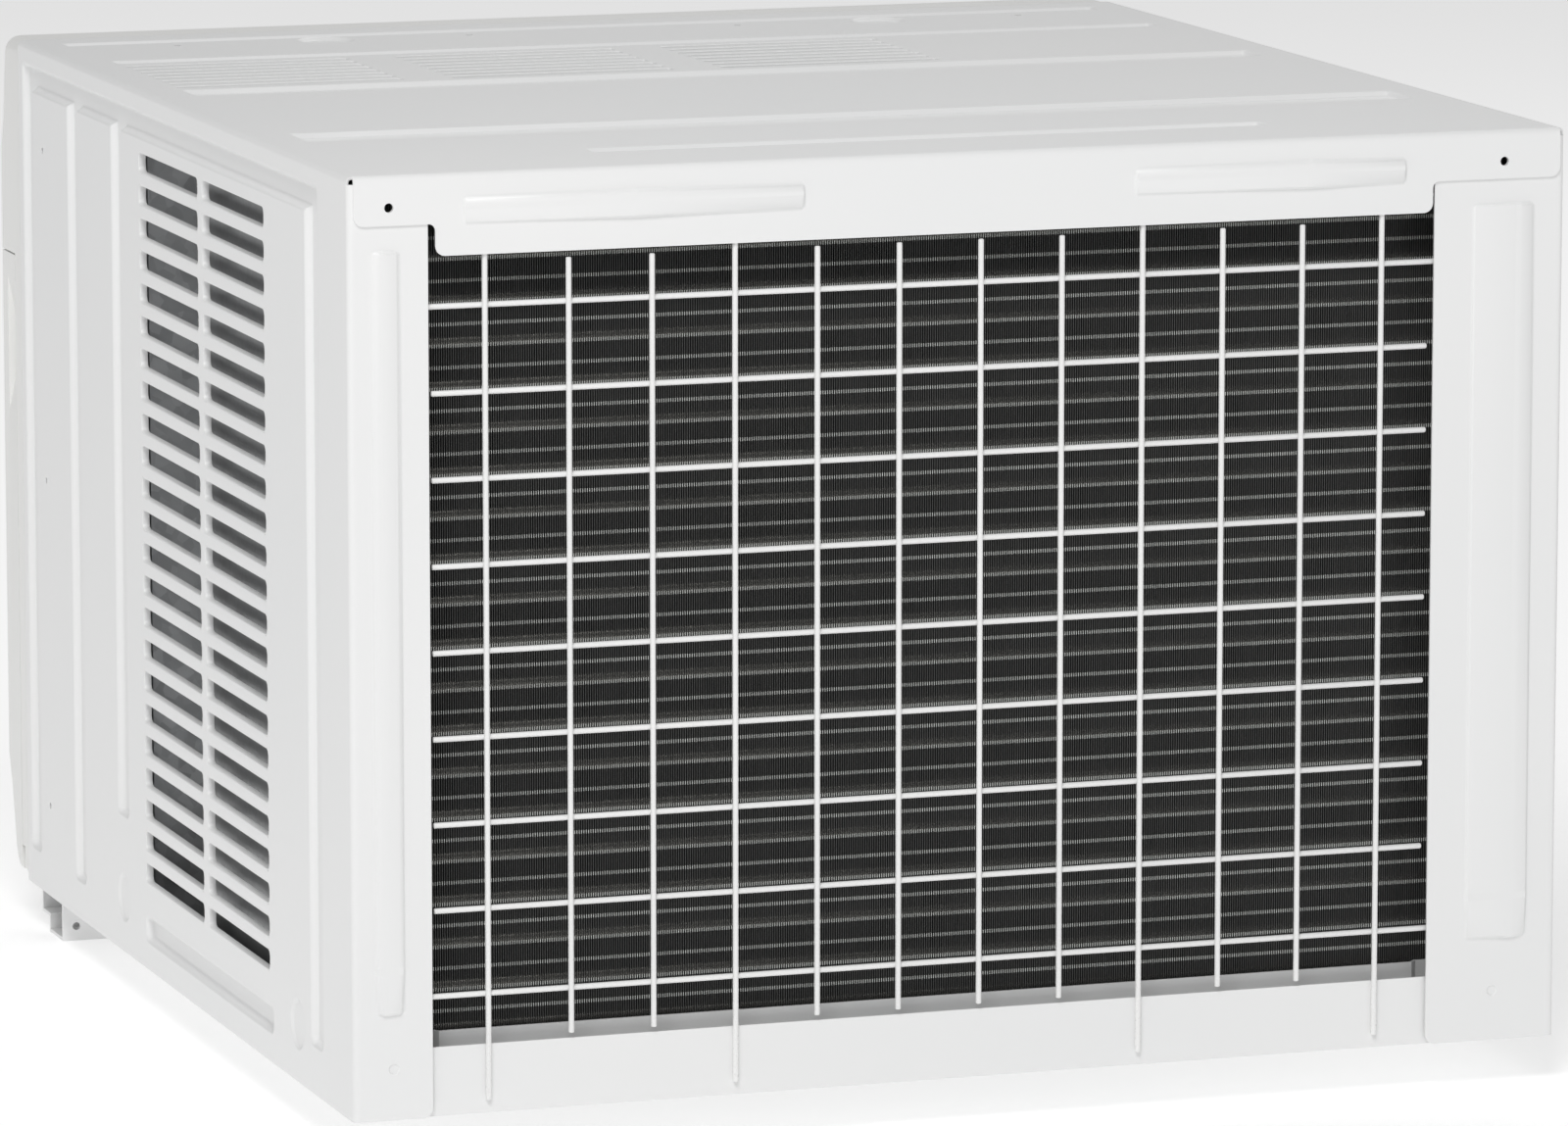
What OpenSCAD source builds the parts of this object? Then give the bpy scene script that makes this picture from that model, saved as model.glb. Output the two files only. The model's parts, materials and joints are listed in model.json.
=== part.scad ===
// Slide-out window air conditioner: pressed steel cabinet, chassis with both coils, fan set and front bezel.
// Millimetres. +Z up, the room side faces -Y and the outdoor side faces +Y.
// The origin is under the middle of the overall box, at the foot of the sill rail.

/* [Cabinet] */
// Width of the cabinet
cabinet_w = 660; // [560:1:790]
// Height of the cabinet without the sill rail
cabinet_h = 483; // [450:1:580]
// Depth of the cabinet without the bezel
cabinet_d = 669; // [620:1:800]
// Thickness of the cabinet sheet
sheet = 1.2; // [0.8:0.1:1.5]
// Outside radius of the long bends
bend_r = 3; // [2:0.5:6]
// Width of the rear side flange on the +X side
flange_plus_w = 42; // [36:1:60]
// Width of the rear side flange on the -X side
flange_minus_w = 73; // [60:1:90]
// Height of the middle of the rear top flange
top_flange_h = 41.5; // [36:0.5:60]
// Height of the ends of the top flange, which lap the side flanges
lap_h = 25.2; // [20:0.2:32]
// Gap from a side flange's edge to the middle of the top flange
lap_gap = 3.8; // [2:0.2:8]
// Radius on the flange corners
flange_r = 5; // [3:0.5:8]
// Height of the bottom tray's rear flange
tail_h = 35.9; // [28:0.1:50]
// Height of the bottom tray's side lips
tray_lip_h = 12; // [6:1:14]
// Radius of the rear lifting-screw holes
rear_hole_r = 2.4; // [2:0.1:3]
// Inset of the +X rear hole and dimple from the cabinet side
hole_plus_in = 21.4; // [15:0.1:28]
// Inset of the -X rear hole and dimple from the cabinet side
hole_minus_in = 34.4; // [20:0.1:50]
// Drop of the rear holes below the cabinet top
rear_hole_drop = 16.2; // [10:0.1:20]

/* [Pressed beads] */
// Depth of the beads in the side panels
side_bead = 4; // [2:0.5:5]
// Depth of the beads in the top panel
top_bead = 2.6; // [1.5:0.1:4]
// Width of the upright beads
leg_w = 24; // [16:1:30]
// Width of the long bead under the top bend
crown_w = 15; // [12:1:20]
// Drop of the long bead below the cabinet top
crown_drop = 11.3; // [8:0.1:20]
// Rise of the raised pads on the rear flanges
pad_rise = 2; // [1:0.5:3]

/* [Side slots] */
// Length of a side air slot
slot_l = 122; // [90:1:130]
// Height of a side air slot
slot_h = 12.6; // [8:0.2:14]
// Pitch of the side slots
slot_pitch = 17.74; // [15:0.02:19]
// Rows of side slots
slot_rows = 23; // [10:1:23]
// Gap between the two columns of side slots
slot_gap = 7; // [5:0.5:12]
// Corner radius of a side slot
slot_r = 4; // [2:0.5:5]

/* [Top slots] */
// Length of a top air slot
top_slot_l = 128.5; // [90:0.5:135]
// Width of a top air slot
top_slot_w = 9; // [6:0.5:10]
// Pitch of the top slots
top_slot_pitch = 15.1; // [14:0.1:16]
// Pitch of the three banks of top slots
bank_pitch = 154.7; // [145:0.1:160]
// Radius of the four small holes in the top
top_hole_r = 2; // [1.5:0.1:3]

/* [Rear grille] */
// Diameter of the grille wire
wire_d = 2.8; // [2:0.1:3.5]
// Pitch of the grille wires, both ways
wire_pitch = 44.18; // [38:0.02:50]
// Upright grille wires
wire_columns = 12; // [6:1:12]
// Level grille wires
wire_rows = 9; // [4:1:9]
// Depth that crossing wires are welded into each other
weld = 0.6; // [0.2:0.1:1]

/* [Sill rail] */
// Drop of the rail below the cabinet
rail_drop = 26; // [20:1:40]
// Width of the rail's foot
rail_foot_w = 30; // [20:1:40]
// Width of the rail's front step
rail_step_w = 16; // [10:1:24]
// Wall of the rail
rail_wall = 2; // [1.5:0.1:3]
// Inset of the rail's ends from the cabinet sides
rail_inset = 6; // [3:1:20]
// Radius of the holes in the rail's rear face
rail_hole_r = 2.25; // [2:0.05:3]

/* [Bezel] */
// Depth of the bezel in front of the cabinet, at its middle
bezel_d = 64; // [56:1:80]
// Amount that the bezel's front bows from its middle to its sides
bezel_bow = 22; // [10:1:30]
// Wall of the bezel mouldings
wall = 3; // [2:0.1:4]
// Height of the seam between the bezel and the intake panel
seam_h = 360; // [340:1:362]
// Depth of the ring behind the intake panel
ring_d = 12.5; // [10:0.5:16]
// Width of that ring
ring_w = 16; // [12:1:20]
// Gap between the bezel's separate mouldings
moulding_gap = 1; // [0.6:0.1:1.5]
// Depth of the finger scoops in the panel's sides
scoop = 5; // [3:0.5:7]
// Height of the finger scoops
scoop_h = 76; // [60:1:90]
// Height of the middle of the finger scoops
scoop_mid_h = 307; // [280:1:315]
// Height of a slot in the intake panel
intake_slot_h = 9; // [6:0.5:11]
// Pitch of the slots in the intake panel
intake_pitch = 16; // [14:0.5:20]
// Height of the lowest slot in the intake panel
intake_low = 120; // [116:1:160]
// Radius of the panel's hinge pins
hinge_pin_r = 2.5; // [2:0.1:3.5]

/* [Outlet and controls] */
// Height of the air outlet
outlet_h = 70; // [60:1:76]
// Height of the outlet's sill above the seam
outlet_up = 12; // [8:1:16]
// Distance from the outlet to the -X side of the bezel
outlet_in = 34; // [24:1:60]
// Width of the control field beside the outlet
control_w = 154; // [130:1:170]
// Chord of a level louvre
louvre_chord = 16; // [12:0.5:18]
// Chord of an upright deflector
deflector_chord = 16; // [12:0.5:17]
// Thickness of louvres and deflectors
blade_t = 2; // [1.4:0.1:2.4]
// Radius of their pivot pins
pivot_r = 1.5; // [1:0.1:2]
// Radius of the push buttons
button_r = 6.5; // [5:0.1:7.5]
// Pitch of the push buttons
button_pitch = 24; // [20:1:26]
// Travel of the push buttons
button_travel = 1.2; // [0.8:0.1:2]

/* [Chassis] */
// Distance from the rear flanges to the pan's rear wall
pan_in = 20; // [14:1:30]
// Height of the pan's rear wall above the cabinet's underside
pan_rear_h = 40.7; // [30:0.1:50]
// Height of the pan's other walls
pan_wall_h = 18; // [12:1:24]
// Thickness of the outdoor coil
condenser_t = 44; // [30:1:50]
// Thickness of the indoor coil
evaporator_t = 42; // [30:1:44]
// Height of the indoor coil
evaporator_h = 335; // [280:1:336]
// Pitch of the coil tubes
tube_pitch = 21.5; // [19:0.5:25]
// Radius of the coil tubes
tube_r = 4; // [3:0.1:4.8]
// Distance from the cabinet front to the bulkhead
bulkhead_in = 232.3; // [220:0.1:250]

/* [Fan set] */
// Height of the shaft above the cabinet's underside
shaft_h = 211; // [205:1:214]
// Sideways place of the shaft
shaft_x = 30; // [10:1:40]
// Radius of the shaft
shaft_r = 6; // [5:0.1:8]
// Radius of the outdoor fan with its slinger ring
fan_r = 190; // [150:1:192]
// Outdoor fan blades
fan_blades = 5; // [3:1:7]
// Depth of the outdoor fan
fan_t = 36; // [30:1:44]
// Radius of the blower wheel
wheel_r = 115; // [95:1:125]
// Depth of the blower wheel
wheel_t = 100; // [80:1:104]
// Vanes in the blower wheel
wheel_vanes = 36; // [20:1:48]
// Radius of the motor
motor_r = 70; // [60:1:78]
// Length of the motor
motor_l = 120; // [90:1:130]

/* [Compressor] */
// Radius of the compressor's shell
shell_r = 76; // [60:1:78]
// Height of the compressor's shell
shell_h = 290; // [220:1:310]
// Radius of the suction accumulator
accumulator_r = 22; // [16:1:24]
// Radius of the refrigerant pipes
pipe_r = 5; // [4:0.5:6]

/* [Clearances] */
// Radial gap of a pin or shaft that turns in a hole
running = 0.06; // [0.02:0.01:0.1]
// Gap round a part that slides or swings past another
swing_gap = 0.6; // [0.4:0.1:1.2]
// Gap under the pan and behind the bezel
slide_gap = 1; // [0.6:0.1:2]
// Side gap between the chassis and the cabinet's beads
chassis_side_gap = 4.8; // [3:0.1:7]
// Gap between the chassis and the beads in the cabinet's top
chassis_top_gap = 3.2; // [2:0.1:6]

/* [Hidden] */
$fn = 48;

// ---- places ----
eps = 1;
half_w = cabinet_w / 2;
rear_y = (cabinet_d + bezel_d - pad_rise) / 2;
front_y = rear_y - cabinet_d;
nose_y = front_y - bezel_d;
base_z = rail_drop;
top_z = base_z + cabinet_h;
// Depth from the rear flanges, height from the cabinet's underside
function y_at(depth) = rear_y - depth;
function z_at(height) = base_z + height;

// Cabinet panels
leg_depths = [648, 548.5, 453.5, 68];
leg_feet = [21, 21, 76, 25];
slot_column_depths = [156, 156 + slot_l + slot_gap];
slot_top_drop = 32.7;
foot_bead = [150, 15, 408, 30];
side_dimples = [[454, 30.5], [104.5, 30.5]];
side_dimple_r = 14;
bead_r = 2.5;
curtain_hole_depth = 616;
curtain_hole_heights = [52.6, 239.2, 426.3];
curtain_hole_r = 1.8;
top_beads = [[22, 629, 23, 643], [22, 533, 25, 548], [23, 370, 22, 398.5], [22, 150, 20, 187.5],
    [148, 61, 142, 77.3]];
top_slot_depth = 408;
bank_in = 23;
top_hole_depth = 614;
top_hole_xs = [80.2, 251.4];
top_dimple_x = 165;
top_dimple_r = 16.5;
press_depth = 1.5;
top_pad_heights = [cabinet_h - 26.5, cabinet_h - 11.5];

// Rear opening and grille
opening_x1 = half_w - flange_plus_w;
opening_x0 = -half_w + flange_minus_w;
opening_mid = (opening_x0 + opening_x1) / 2;
wire_r = wire_d / 2;
upright_y = rear_y - sheet - wire_r;
level_y = upright_y - wire_d + weld;
tail_y = upright_y - wire_r;
wire_span = wire_pitch * (wire_columns - 1);
wire_row_span = wire_pitch * (wire_rows - 1);
lowest_wire_h = tail_h + 26;
long_wires = [0, 3, 8, 11];
wire_end_in = 2.5;

// Sill rail
rail_y1 = y_at(615);
rail_y0 = rail_y1 - rail_foot_w - rail_step_w;
rail_step_h = 17;
rail_half = half_w - rail_inset;
rail_screw_xs = [-220, 0, 220];
rail_hole_in = 8;
rail_hole_up = 8.3;
screw_r = 2;
screw_gap = 0.2;
screw_head_r = 4;
screw_head_h = 2.4;

// Chassis envelope
chassis_half = half_w - side_bead - sheet - chassis_side_gap;
chassis_top = top_z - top_bead - sheet - chassis_top_gap;
pan_z = base_z + sheet + slide_gap;
pan_top = pan_z + sheet;
chassis_front = front_y + 8;
pan_rear_y = rear_y - pan_in;
pan_step = 3.5;
condenser_y1 = pan_rear_y - pan_step - sheet - 1;
condenser_y0 = condenser_y1 - condenser_t;
plate_t = 1.2;
bend_reach = tube_pitch / 2 + tube_r + 1;
condenser_half = chassis_half - bend_reach - plate_t;
condenser_z0 = pan_top + 2;
condenser_z1 = chassis_top - 3;
bulkhead_y = front_y + bulkhead_in;

// Shaft line
shaft_z = base_z + shaft_h;
fan_y1 = condenser_y0 - 22;
fan_y0 = fan_y1 - fan_t;
shroud_y = fan_y0 + 12;
shroud_gap = 5;
side_plate_front = y_at(327);
motor_y0 = bulkhead_y + 130;
motor_y1 = motor_y0 + motor_l;
bracket_t = 3;
motor_bolt_ring = motor_r - 15;
boss_r = 22;
boss_l = 12;
bush_l = 10;
hub_r = 14;

// Blower and duct
scroll_r = wheel_r + 33;
scroll_t = 2;
scroll_y1 = bulkhead_y - 45;
scroll_y0 = scroll_y1 - wheel_t - 18;
inlet_t = 4;
inlet_r = wheel_r - 17;
duct_wall = 4;
duct_z0 = shaft_z + scroll_r + 5;
duct_z1 = min(chassis_top - 12, duct_z0 + 94);
chimney_x0 = shaft_x - scroll_r + 0.5;
chimney_x1 = shaft_x + 30;

// Indoor coil
evaporator_y0 = chassis_front + 4;
evaporator_y1 = evaporator_y0 + evaporator_t;
evaporator_z0 = pan_top + 12;
evaporator_x0 = -condenser_half;
evaporator_x1 = half_w - 145;

// Bezel
arc_r = (half_w * half_w + bezel_bow * bezel_bow) / (2 * bezel_bow);
bezel_r = 8;
bezel_rear = front_y - 0.5;
ring_front = bezel_rear - ring_d;
seam_z = z_at(seam_h);
panel_rear = ring_front - moulding_gap;
hinge_y = ring_front - 3.5;
hinge_z = base_z + 11;
hinge_x = half_w - 26;
ring_relief = 5.5;
panel_foot = 4;
// Front outline from the side: reach in front of the cabinet against height
reaches = [[17, 0], [19, 2], [27, 16], [35, 49], [46, 78], [bezel_d + 2, 112],
    [bezel_d + 2, seam_h - 15], [36, cabinet_h - 48], [30, cabinet_h - 10], [26, cabinet_h]];
outlet_x0 = -half_w + outlet_in;
control_x1 = half_w - 18;
control_x0 = control_x1 - control_w;
outlet_x1 = control_x0 - 17;
outlet_z0 = seam_z + outlet_up;
outlet_z1 = outlet_z0 + outlet_h;
control_z0 = seam_z + 8;
control_z1 = outlet_z1 + 8;
louvre_count = 4;
louvre_pitch = outlet_h / louvre_count;
deflector_count = 6;
deflector_pitch = (outlet_x1 - outlet_x0) / deflector_count;
deflector_y = bezel_rear - 2 - deflector_chord / 2;
button_z = control_z0 + 16;
button_x0 = control_x0 + 38;
lens_x0 = control_x0 + 34;
lens_x1 = control_x1 - 22;
lens_z0 = button_z + 16;
lens_z1 = control_z1 - 14;
vent_x = control_x0 + 12;
vent_z = lens_z0 + 12;
vent_rod_r = 2.5;
vent_knob_r = 6;
vent_gap = 0.6;

// Compressor
compressor_x = -half_w + 122;
compressor_y = bulkhead_y + 140;
grommet_ring = 92;
grommet_h = 14;
foot_t = 3;
feet_z = pan_top + grommet_h;
shell_z0 = feet_z + foot_t;
accumulator_x = compressor_x + shell_r + accumulator_r + 8;
accumulator_y = compressor_y - 20;

// Control box
box_x0 = half_w - 128;
box_x1 = chassis_half - 4;
box_y0 = chassis_front + 4;
box_y1 = bulkhead_y - 40;
box_z0 = z_at(170);
box_z1 = min(chassis_top - 16, z_at(460));

// ---- helpers ----
// A flat outline in (x, z) as a plate from y0 to y1
module plate_xz(y0, y1) {
    translate([0, y1, 0]) rotate([90, 0, 0]) linear_extrude(y1 - y0) children();
}
// A flat outline in (y, z) as a plate from x0 to x1
module plate_yz(x0, x1) {
    translate([x0, 0, 0]) rotate([90, 0, 90]) linear_extrude(x1 - x0) children();
}
// A flat outline in (x, y) as a plate from z0 to z1
module plate_xy(z0, z1) {
    translate([0, 0, z0]) linear_extrude(z1 - z0) children();
}
module block(low, high) {
    translate(low) cube(high - low);
}
module rod_y(x, z, y0, y1, r) {
    translate([x, y1, z]) rotate([90, 0, 0]) cylinder(r = r, h = y1 - y0);
}
module rod_x(y, z, x0, x1, r) {
    translate([x0, y, z]) rotate([0, 90, 0]) cylinder(r = r, h = x1 - x0);
}
module rod_z(x, y, z0, z1, r) {
    translate([x, y, z0]) cylinder(r = r, h = z1 - z0);
}
module both_sides() {
    children();
    mirror([1, 0, 0]) children();
}
function corner(cx, cy, r, from, steps) =
    [for (i = [0:steps]) [cx + r * cos(from + 90 * i / steps), cy + r * sin(from + 90 * i / steps)]];
function round_box(x0, y0, x1, y1, r, steps) = concat(
    corner(x1 - r, y1 - r, r, 0, steps), corner(x0 + r, y1 - r, r, 90, steps),
    corner(x0 + r, y0 + r, r, 180, steps), corner(x1 - r, y0 + r, r, 270, steps));
module round_rect(x0, y0, x1, y1, r, steps = 5) {
    polygon(round_box(x0, y0, x1, y1, r, steps));
}
module rect(x0, y0, x1, y1) {
    translate([x0, y0]) square([x1 - x0, y1 - y0]);
}

// Outlines of the pressed beads, with grow for the metal behind them
module side_beads(grow) {
    crown_z1 = top_z - crown_drop;
    less = side_bead / 2 - grow;
    round_rect(y_at(leg_depths[0] + leg_w / 2) + less, crown_z1 - crown_w + less,
        y_at(leg_depths[3] - leg_w / 2) - less, crown_z1 - less, bead_r, 2);
    for (i = [0:3])
        round_rect(y_at(leg_depths[i] + leg_w / 2) + less, z_at(leg_feet[i]) + less,
            y_at(leg_depths[i] - leg_w / 2) - less, crown_z1 - less, bead_r, 2);
    round_rect(y_at(foot_bead[2]) + less, z_at(foot_bead[1]) + less, y_at(foot_bead[0]) - less,
        z_at(foot_bead[3]) - less, bead_r, 2);
}
module all_top_beads(grow) {
    less = top_bead / 2 - grow;
    for (b = top_beads)
        round_rect(-half_w + b[2] + less, y_at(b[3]) + less, half_w - b[0] - less, y_at(b[1]) - less,
            bead_r, 2);
}
module side_slots() {
    for (column = slot_column_depths)
        for (row = [0:slot_rows - 1]) {
            slot_top = top_z - slot_top_drop - row * slot_pitch;
            round_rect(y_at(column + slot_l), slot_top - slot_h, y_at(column), slot_top, slot_r, 2);
        }
}
module top_slots() {
    for (bank = [0:2])
        for (row = [0:7]) {
            slot_x1 = half_w - bank_in - bank * bank_pitch;
            slot_y1 = y_at(top_slot_depth + row * top_slot_pitch);
            round_rect(slot_x1 - top_slot_l, slot_y1 - top_slot_w, slot_x1, slot_y1, 3, 2);
        }
}
// Raised pads on the rear flanges, shrunk by less
module flange_pads(less) {
    z0 = z_at(top_pad_heights[0]);
    z1 = z_at(top_pad_heights[1]);
    r = flange_r;
    round_rect(opening_x1 - 199 + less, z0 + less, opening_x1 - 18 - less, z1 - less, r);
    round_rect(opening_x0 + 17 + less, z0 + less, opening_x0 + 168 - less, z1 - less, r);
}
module side_pads(less) {
    z0 = z_at(54);
    z1 = top_z - 38;
    round_rect(half_w - 28 + less, z0 + less, half_w - 11 - less, z1 - less, flange_r);
    round_rect(-half_w + 16.5 + less, z0 + less, -half_w + 52 - less, z1 - less, flange_r);
}
module top_flange() {
    difference() {
        union() {
            round_rect(-half_w, top_z - lap_h, half_w, top_z + 2 * flange_r, flange_r);
            round_rect(opening_x0 + lap_gap, top_z - top_flange_h, opening_x1 - lap_gap, top_z, flange_r);
        }
        rect(-half_w - eps, top_z, half_w + eps, top_z + 3 * flange_r);
    }
}
module side_flanges() {
    round_rect(opening_x1, base_z, half_w + 2 * flange_r, top_z - sheet, flange_r);
    round_rect(-half_w - 2 * flange_r, base_z, opening_x0, top_z - sheet, flange_r);
}
module wrap_outline(less) {
    round_rect(-half_w + less, base_z - 20, half_w - less, top_z - less, bend_r - less / 2);
}

// ---- cabinet ----
module cabinet_shell() color("whitesmoke") {
    lap_y = rear_y - sheet;
    difference() {
        union() {
            plate_xz(front_y, lap_y) difference() {
                wrap_outline(0);
                wrap_outline(sheet);
                rect(-half_w - eps, base_z - 30, half_w + eps, base_z);
            }
            plate_xz(lap_y, rear_y) intersection() {
                wrap_outline(0);
                top_flange();
            }
            plate_xz(lap_y - sheet, lap_y) intersection() {
                wrap_outline(0);
                side_flanges();
            }
            plate_xz(rear_y - eps, rear_y + pad_rise) flange_pads(0);
            plate_xz(lap_y - eps, lap_y + pad_rise) side_pads(0);
            both_sides() plate_yz(half_w - side_bead - sheet, half_w - sheet / 2) side_beads(sheet);
            plate_xy(top_z - top_bead - sheet, top_z - sheet / 2) all_top_beads(sheet);
            both_sides() for (d = side_dimples)
                rod_x(y_at(d[0]), z_at(d[1]), half_w - press_depth - sheet, half_w - sheet / 2,
                    side_dimple_r + sheet);
            both_sides() rod_z(top_dimple_x, y_at(top_hole_depth), top_z - press_depth - sheet,
                top_z - sheet / 2, top_dimple_r + sheet);
        }
        both_sides() plate_yz(half_w - side_bead, half_w + eps) side_beads(0);
        plate_xy(top_z - top_bead, top_z + eps) all_top_beads(0);
        plate_xz(rear_y - 2 * sheet, rear_y + pad_rise - sheet) flange_pads(sheet);
        plate_xz(lap_y - 2 * sheet, lap_y + pad_rise - sheet) side_pads(sheet);
        both_sides() plate_yz(half_w - sheet - eps, half_w + eps) side_slots();
        plate_xy(top_z - sheet - eps, top_z + eps) top_slots();
        both_sides() for (d = side_dimples)
            rod_x(y_at(d[0]), z_at(d[1]), half_w - press_depth, half_w + eps, side_dimple_r);
        both_sides() rod_z(top_dimple_x, y_at(top_hole_depth), top_z - press_depth, top_z + eps,
            top_dimple_r);
        both_sides() for (h = curtain_hole_heights)
            rod_x(y_at(curtain_hole_depth), z_at(h), half_w - sheet - eps, half_w + eps, curtain_hole_r);
        for (side = [-1, 1]) for (x = top_hole_xs)
            rod_z(side * x, y_at(top_hole_depth), top_z - sheet - eps, top_z + eps, top_hole_r);
        for (x = [half_w - hole_plus_in, -half_w + hole_minus_in])
            rod_y(x, top_z - rear_hole_drop, rear_y - 4 * sheet, rear_y + eps, rear_hole_r);
    }
}
module case_bottom() color("whitesmoke") {
    inner = half_w - sheet;
    tray_y1 = tail_y;
    difference() {
        union() {
            block([-inner, front_y, base_z], [inner, tray_y1, base_z + sheet]);
            block([-inner, tray_y1 - sheet, base_z], [inner, tray_y1, z_at(tail_h)]);
            both_sides() block([inner - sheet, front_y, base_z],
                [inner, tray_y1, base_z + tray_lip_h]);
        }
        for (x = rail_screw_xs)
            rod_z(x, rail_y1 - rail_foot_w / 2, base_z - eps, base_z + sheet + eps, screw_r + screw_gap);
    }
}
module rear_grille() color("white") {
    turn = 22.5;
    flat_r = wire_r / cos(turn);
    x0 = opening_mid - wire_span / 2;
    z0 = z_at(lowest_wire_h);
    short_z0 = z_at(tail_h + 3);
    short_z1 = top_z - top_flange_h - 3.5;
    for (i = [0:wire_columns - 1]) {
        is_long = len(search(i, long_wires)) > 0;
        foot = is_long ? z_at(7) : short_z0;
        head = is_long ? top_z - 32 : short_z1;
        translate([x0 + i * wire_pitch, upright_y, foot]) rotate([0, 0, turn])
            cylinder(r = flat_r, h = head - foot, $fn = 8);
    }
    for (j = [0:wire_rows - 1]) {
        is_outer = j == 0 || j == wire_rows - 1;
        reach = is_outer ? 14 : -wire_end_in;
        left = opening_x0 - reach;
        right = opening_x1 + reach;
        translate([left, level_y, z0 + j * wire_pitch]) rotate([0, 90, 0]) rotate([0, 0, turn])
            cylinder(r = flat_r, h = right - left, $fn = 8);
    }
}
function rail_outline(less) = [
    [rail_y0 + less, base_z - less], [rail_y0 + less, base_z - rail_step_h + less],
    [rail_y0 + rail_step_w + less, base_z - rail_step_h + less],
    [rail_y0 + rail_step_w + less, base_z - rail_drop + less], [rail_y1 - less, base_z - rail_drop + less],
    [rail_y1 - less, base_z - less]];
module sill_rail() color("whitesmoke") {
    difference() {
        plate_yz(-rail_half, rail_half) polygon(rail_outline(0));
        plate_yz(-rail_half - eps, rail_half + eps) polygon(rail_outline(rail_wall));
        for (x = rail_screw_xs)
            rod_z(x, rail_y1 - rail_foot_w / 2, base_z - rail_wall - eps, base_z + eps, screw_r + screw_gap);
        both_sides() rod_y(rail_half - rail_hole_in, base_z - rail_drop + rail_hole_up,
            rail_y1 - rail_wall - eps, rail_y1 + eps, rail_hole_r);
    }
}
module rail_screws() color("silver") {
    for (x = rail_screw_xs) {
        seat = base_z - rail_wall;
        rod_z(x, rail_y1 - rail_foot_w / 2, seat - screw_head_h, seat, screw_head_r);
        rod_z(x, rail_y1 - rail_foot_w / 2, seat, base_z + sheet + 0.4, screw_r);
    }
}

// ---- chassis ----
module base_pan() color("gainsboro") {
    y0 = chassis_front;
    end_y = pan_rear_y - pan_step;
    step_x1 = opening_x1 - 9;
    step_x0 = opening_x0 + 0.5;
    low = 0.6;
    difference() {
        union() {
            plate_xy(pan_z, pan_top) polygon([[-chassis_half, y0], [chassis_half, y0],
                [chassis_half, end_y], [step_x1 + pan_step, end_y], [step_x1, pan_rear_y],
                [step_x0, pan_rear_y], [step_x0 - pan_step, end_y], [-chassis_half, end_y]]);
            plate_xy(pan_z, z_at(pan_rear_h)) polygon([[-chassis_half, end_y],
                [-chassis_half, end_y - sheet], [step_x0 - pan_step + low, end_y - sheet],
                [step_x0 + low, pan_rear_y - sheet], [step_x1 - low, pan_rear_y - sheet],
                [step_x1 + pan_step - low, end_y - sheet], [chassis_half, end_y - sheet],
                [chassis_half, end_y], [step_x1 + pan_step, end_y], [step_x1, pan_rear_y],
                [step_x0, pan_rear_y], [step_x0 - pan_step, end_y]]);
            both_sides() block([chassis_half - sheet, y0, pan_z],
                [chassis_half, end_y, pan_z + pan_wall_h]);
            block([-chassis_half, y0, pan_z], [chassis_half, y0 + sheet, pan_z + pan_wall_h]);
        }
        for (x = [-150, 150])
            rod_y(x, bezel_screw_z, y0 - eps, y0 + sheet + eps, screw_r + screw_gap);
        for (p = grommet_places())
            rod_z(p[0], p[1], pan_z - eps, pan_top + eps, 4.2);
    }
}
// Coil block, its end plates and its return bends
module coil_fins(x0, x1, y0, y1, z0, z1) {
    block([x0, y0, z0], [x1, y1, z1]);
}
module coil_plates(x0, x1, y0, y1, z0, z1) {
    for (x = [x0 - plate_t, x1])
        block([x, y0 - 2, z0 - 1], [x + plate_t, y1 + 1, z1 + 2]);
}
module coil_bends(x, out, y0, y1, z0, z1, first) {
    rows = floor((z1 - z0) / tube_pitch);
    margin = (z1 - z0 - (rows - 1) * tube_pitch) / 2;
    for (column = [0.36, 0.86])
        for (row = [first:2:rows - 2]) {
            z = z0 + margin + (row + 0.5) * tube_pitch;
            translate([x, y0 + (y1 - y0) * column, z]) rotate([0, 0, out > 0 ? 180 : 0])
                rotate([90, -90, 0]) rotate_extrude(angle = 180) translate([tube_pitch / 2, 0])
                    circle(r = tube_r);
        }
}
module condenser_fins() color("dimgray")
    coil_fins(-condenser_half, condenser_half, condenser_y0, condenser_y1, condenser_z0, condenser_z1);
module condenser_end_plates() color("silver")
    coil_plates(-condenser_half, condenser_half, condenser_y0, condenser_y1, condenser_z0, condenser_z1);
module condenser_bends() color("peru") {
    coil_bends(condenser_half + plate_t, 1, condenser_y0, condenser_y1, condenser_z0, condenser_z1, 0);
    coil_bends(-condenser_half - plate_t, -1, condenser_y0, condenser_y1, condenser_z0, condenser_z1, 1);
}
evaporator_z1 = evaporator_z0 + evaporator_h;
module evaporator_fins() color("lightsteelblue")
    coil_fins(evaporator_x0, evaporator_x1, evaporator_y0, evaporator_y1, evaporator_z0, evaporator_z1);
module evaporator_end_plates() color("silver")
    coil_plates(evaporator_x0, evaporator_x1, evaporator_y0, evaporator_y1, evaporator_z0, evaporator_z1);
module evaporator_bends() color("peru") {
    coil_bends(evaporator_x1 + plate_t, 1, evaporator_y0, evaporator_y1, evaporator_z0, evaporator_z1, 0);
    coil_bends(evaporator_x0 - plate_t, -1, evaporator_y0, evaporator_y1, evaporator_z0, evaporator_z1, 1);
}

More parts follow.
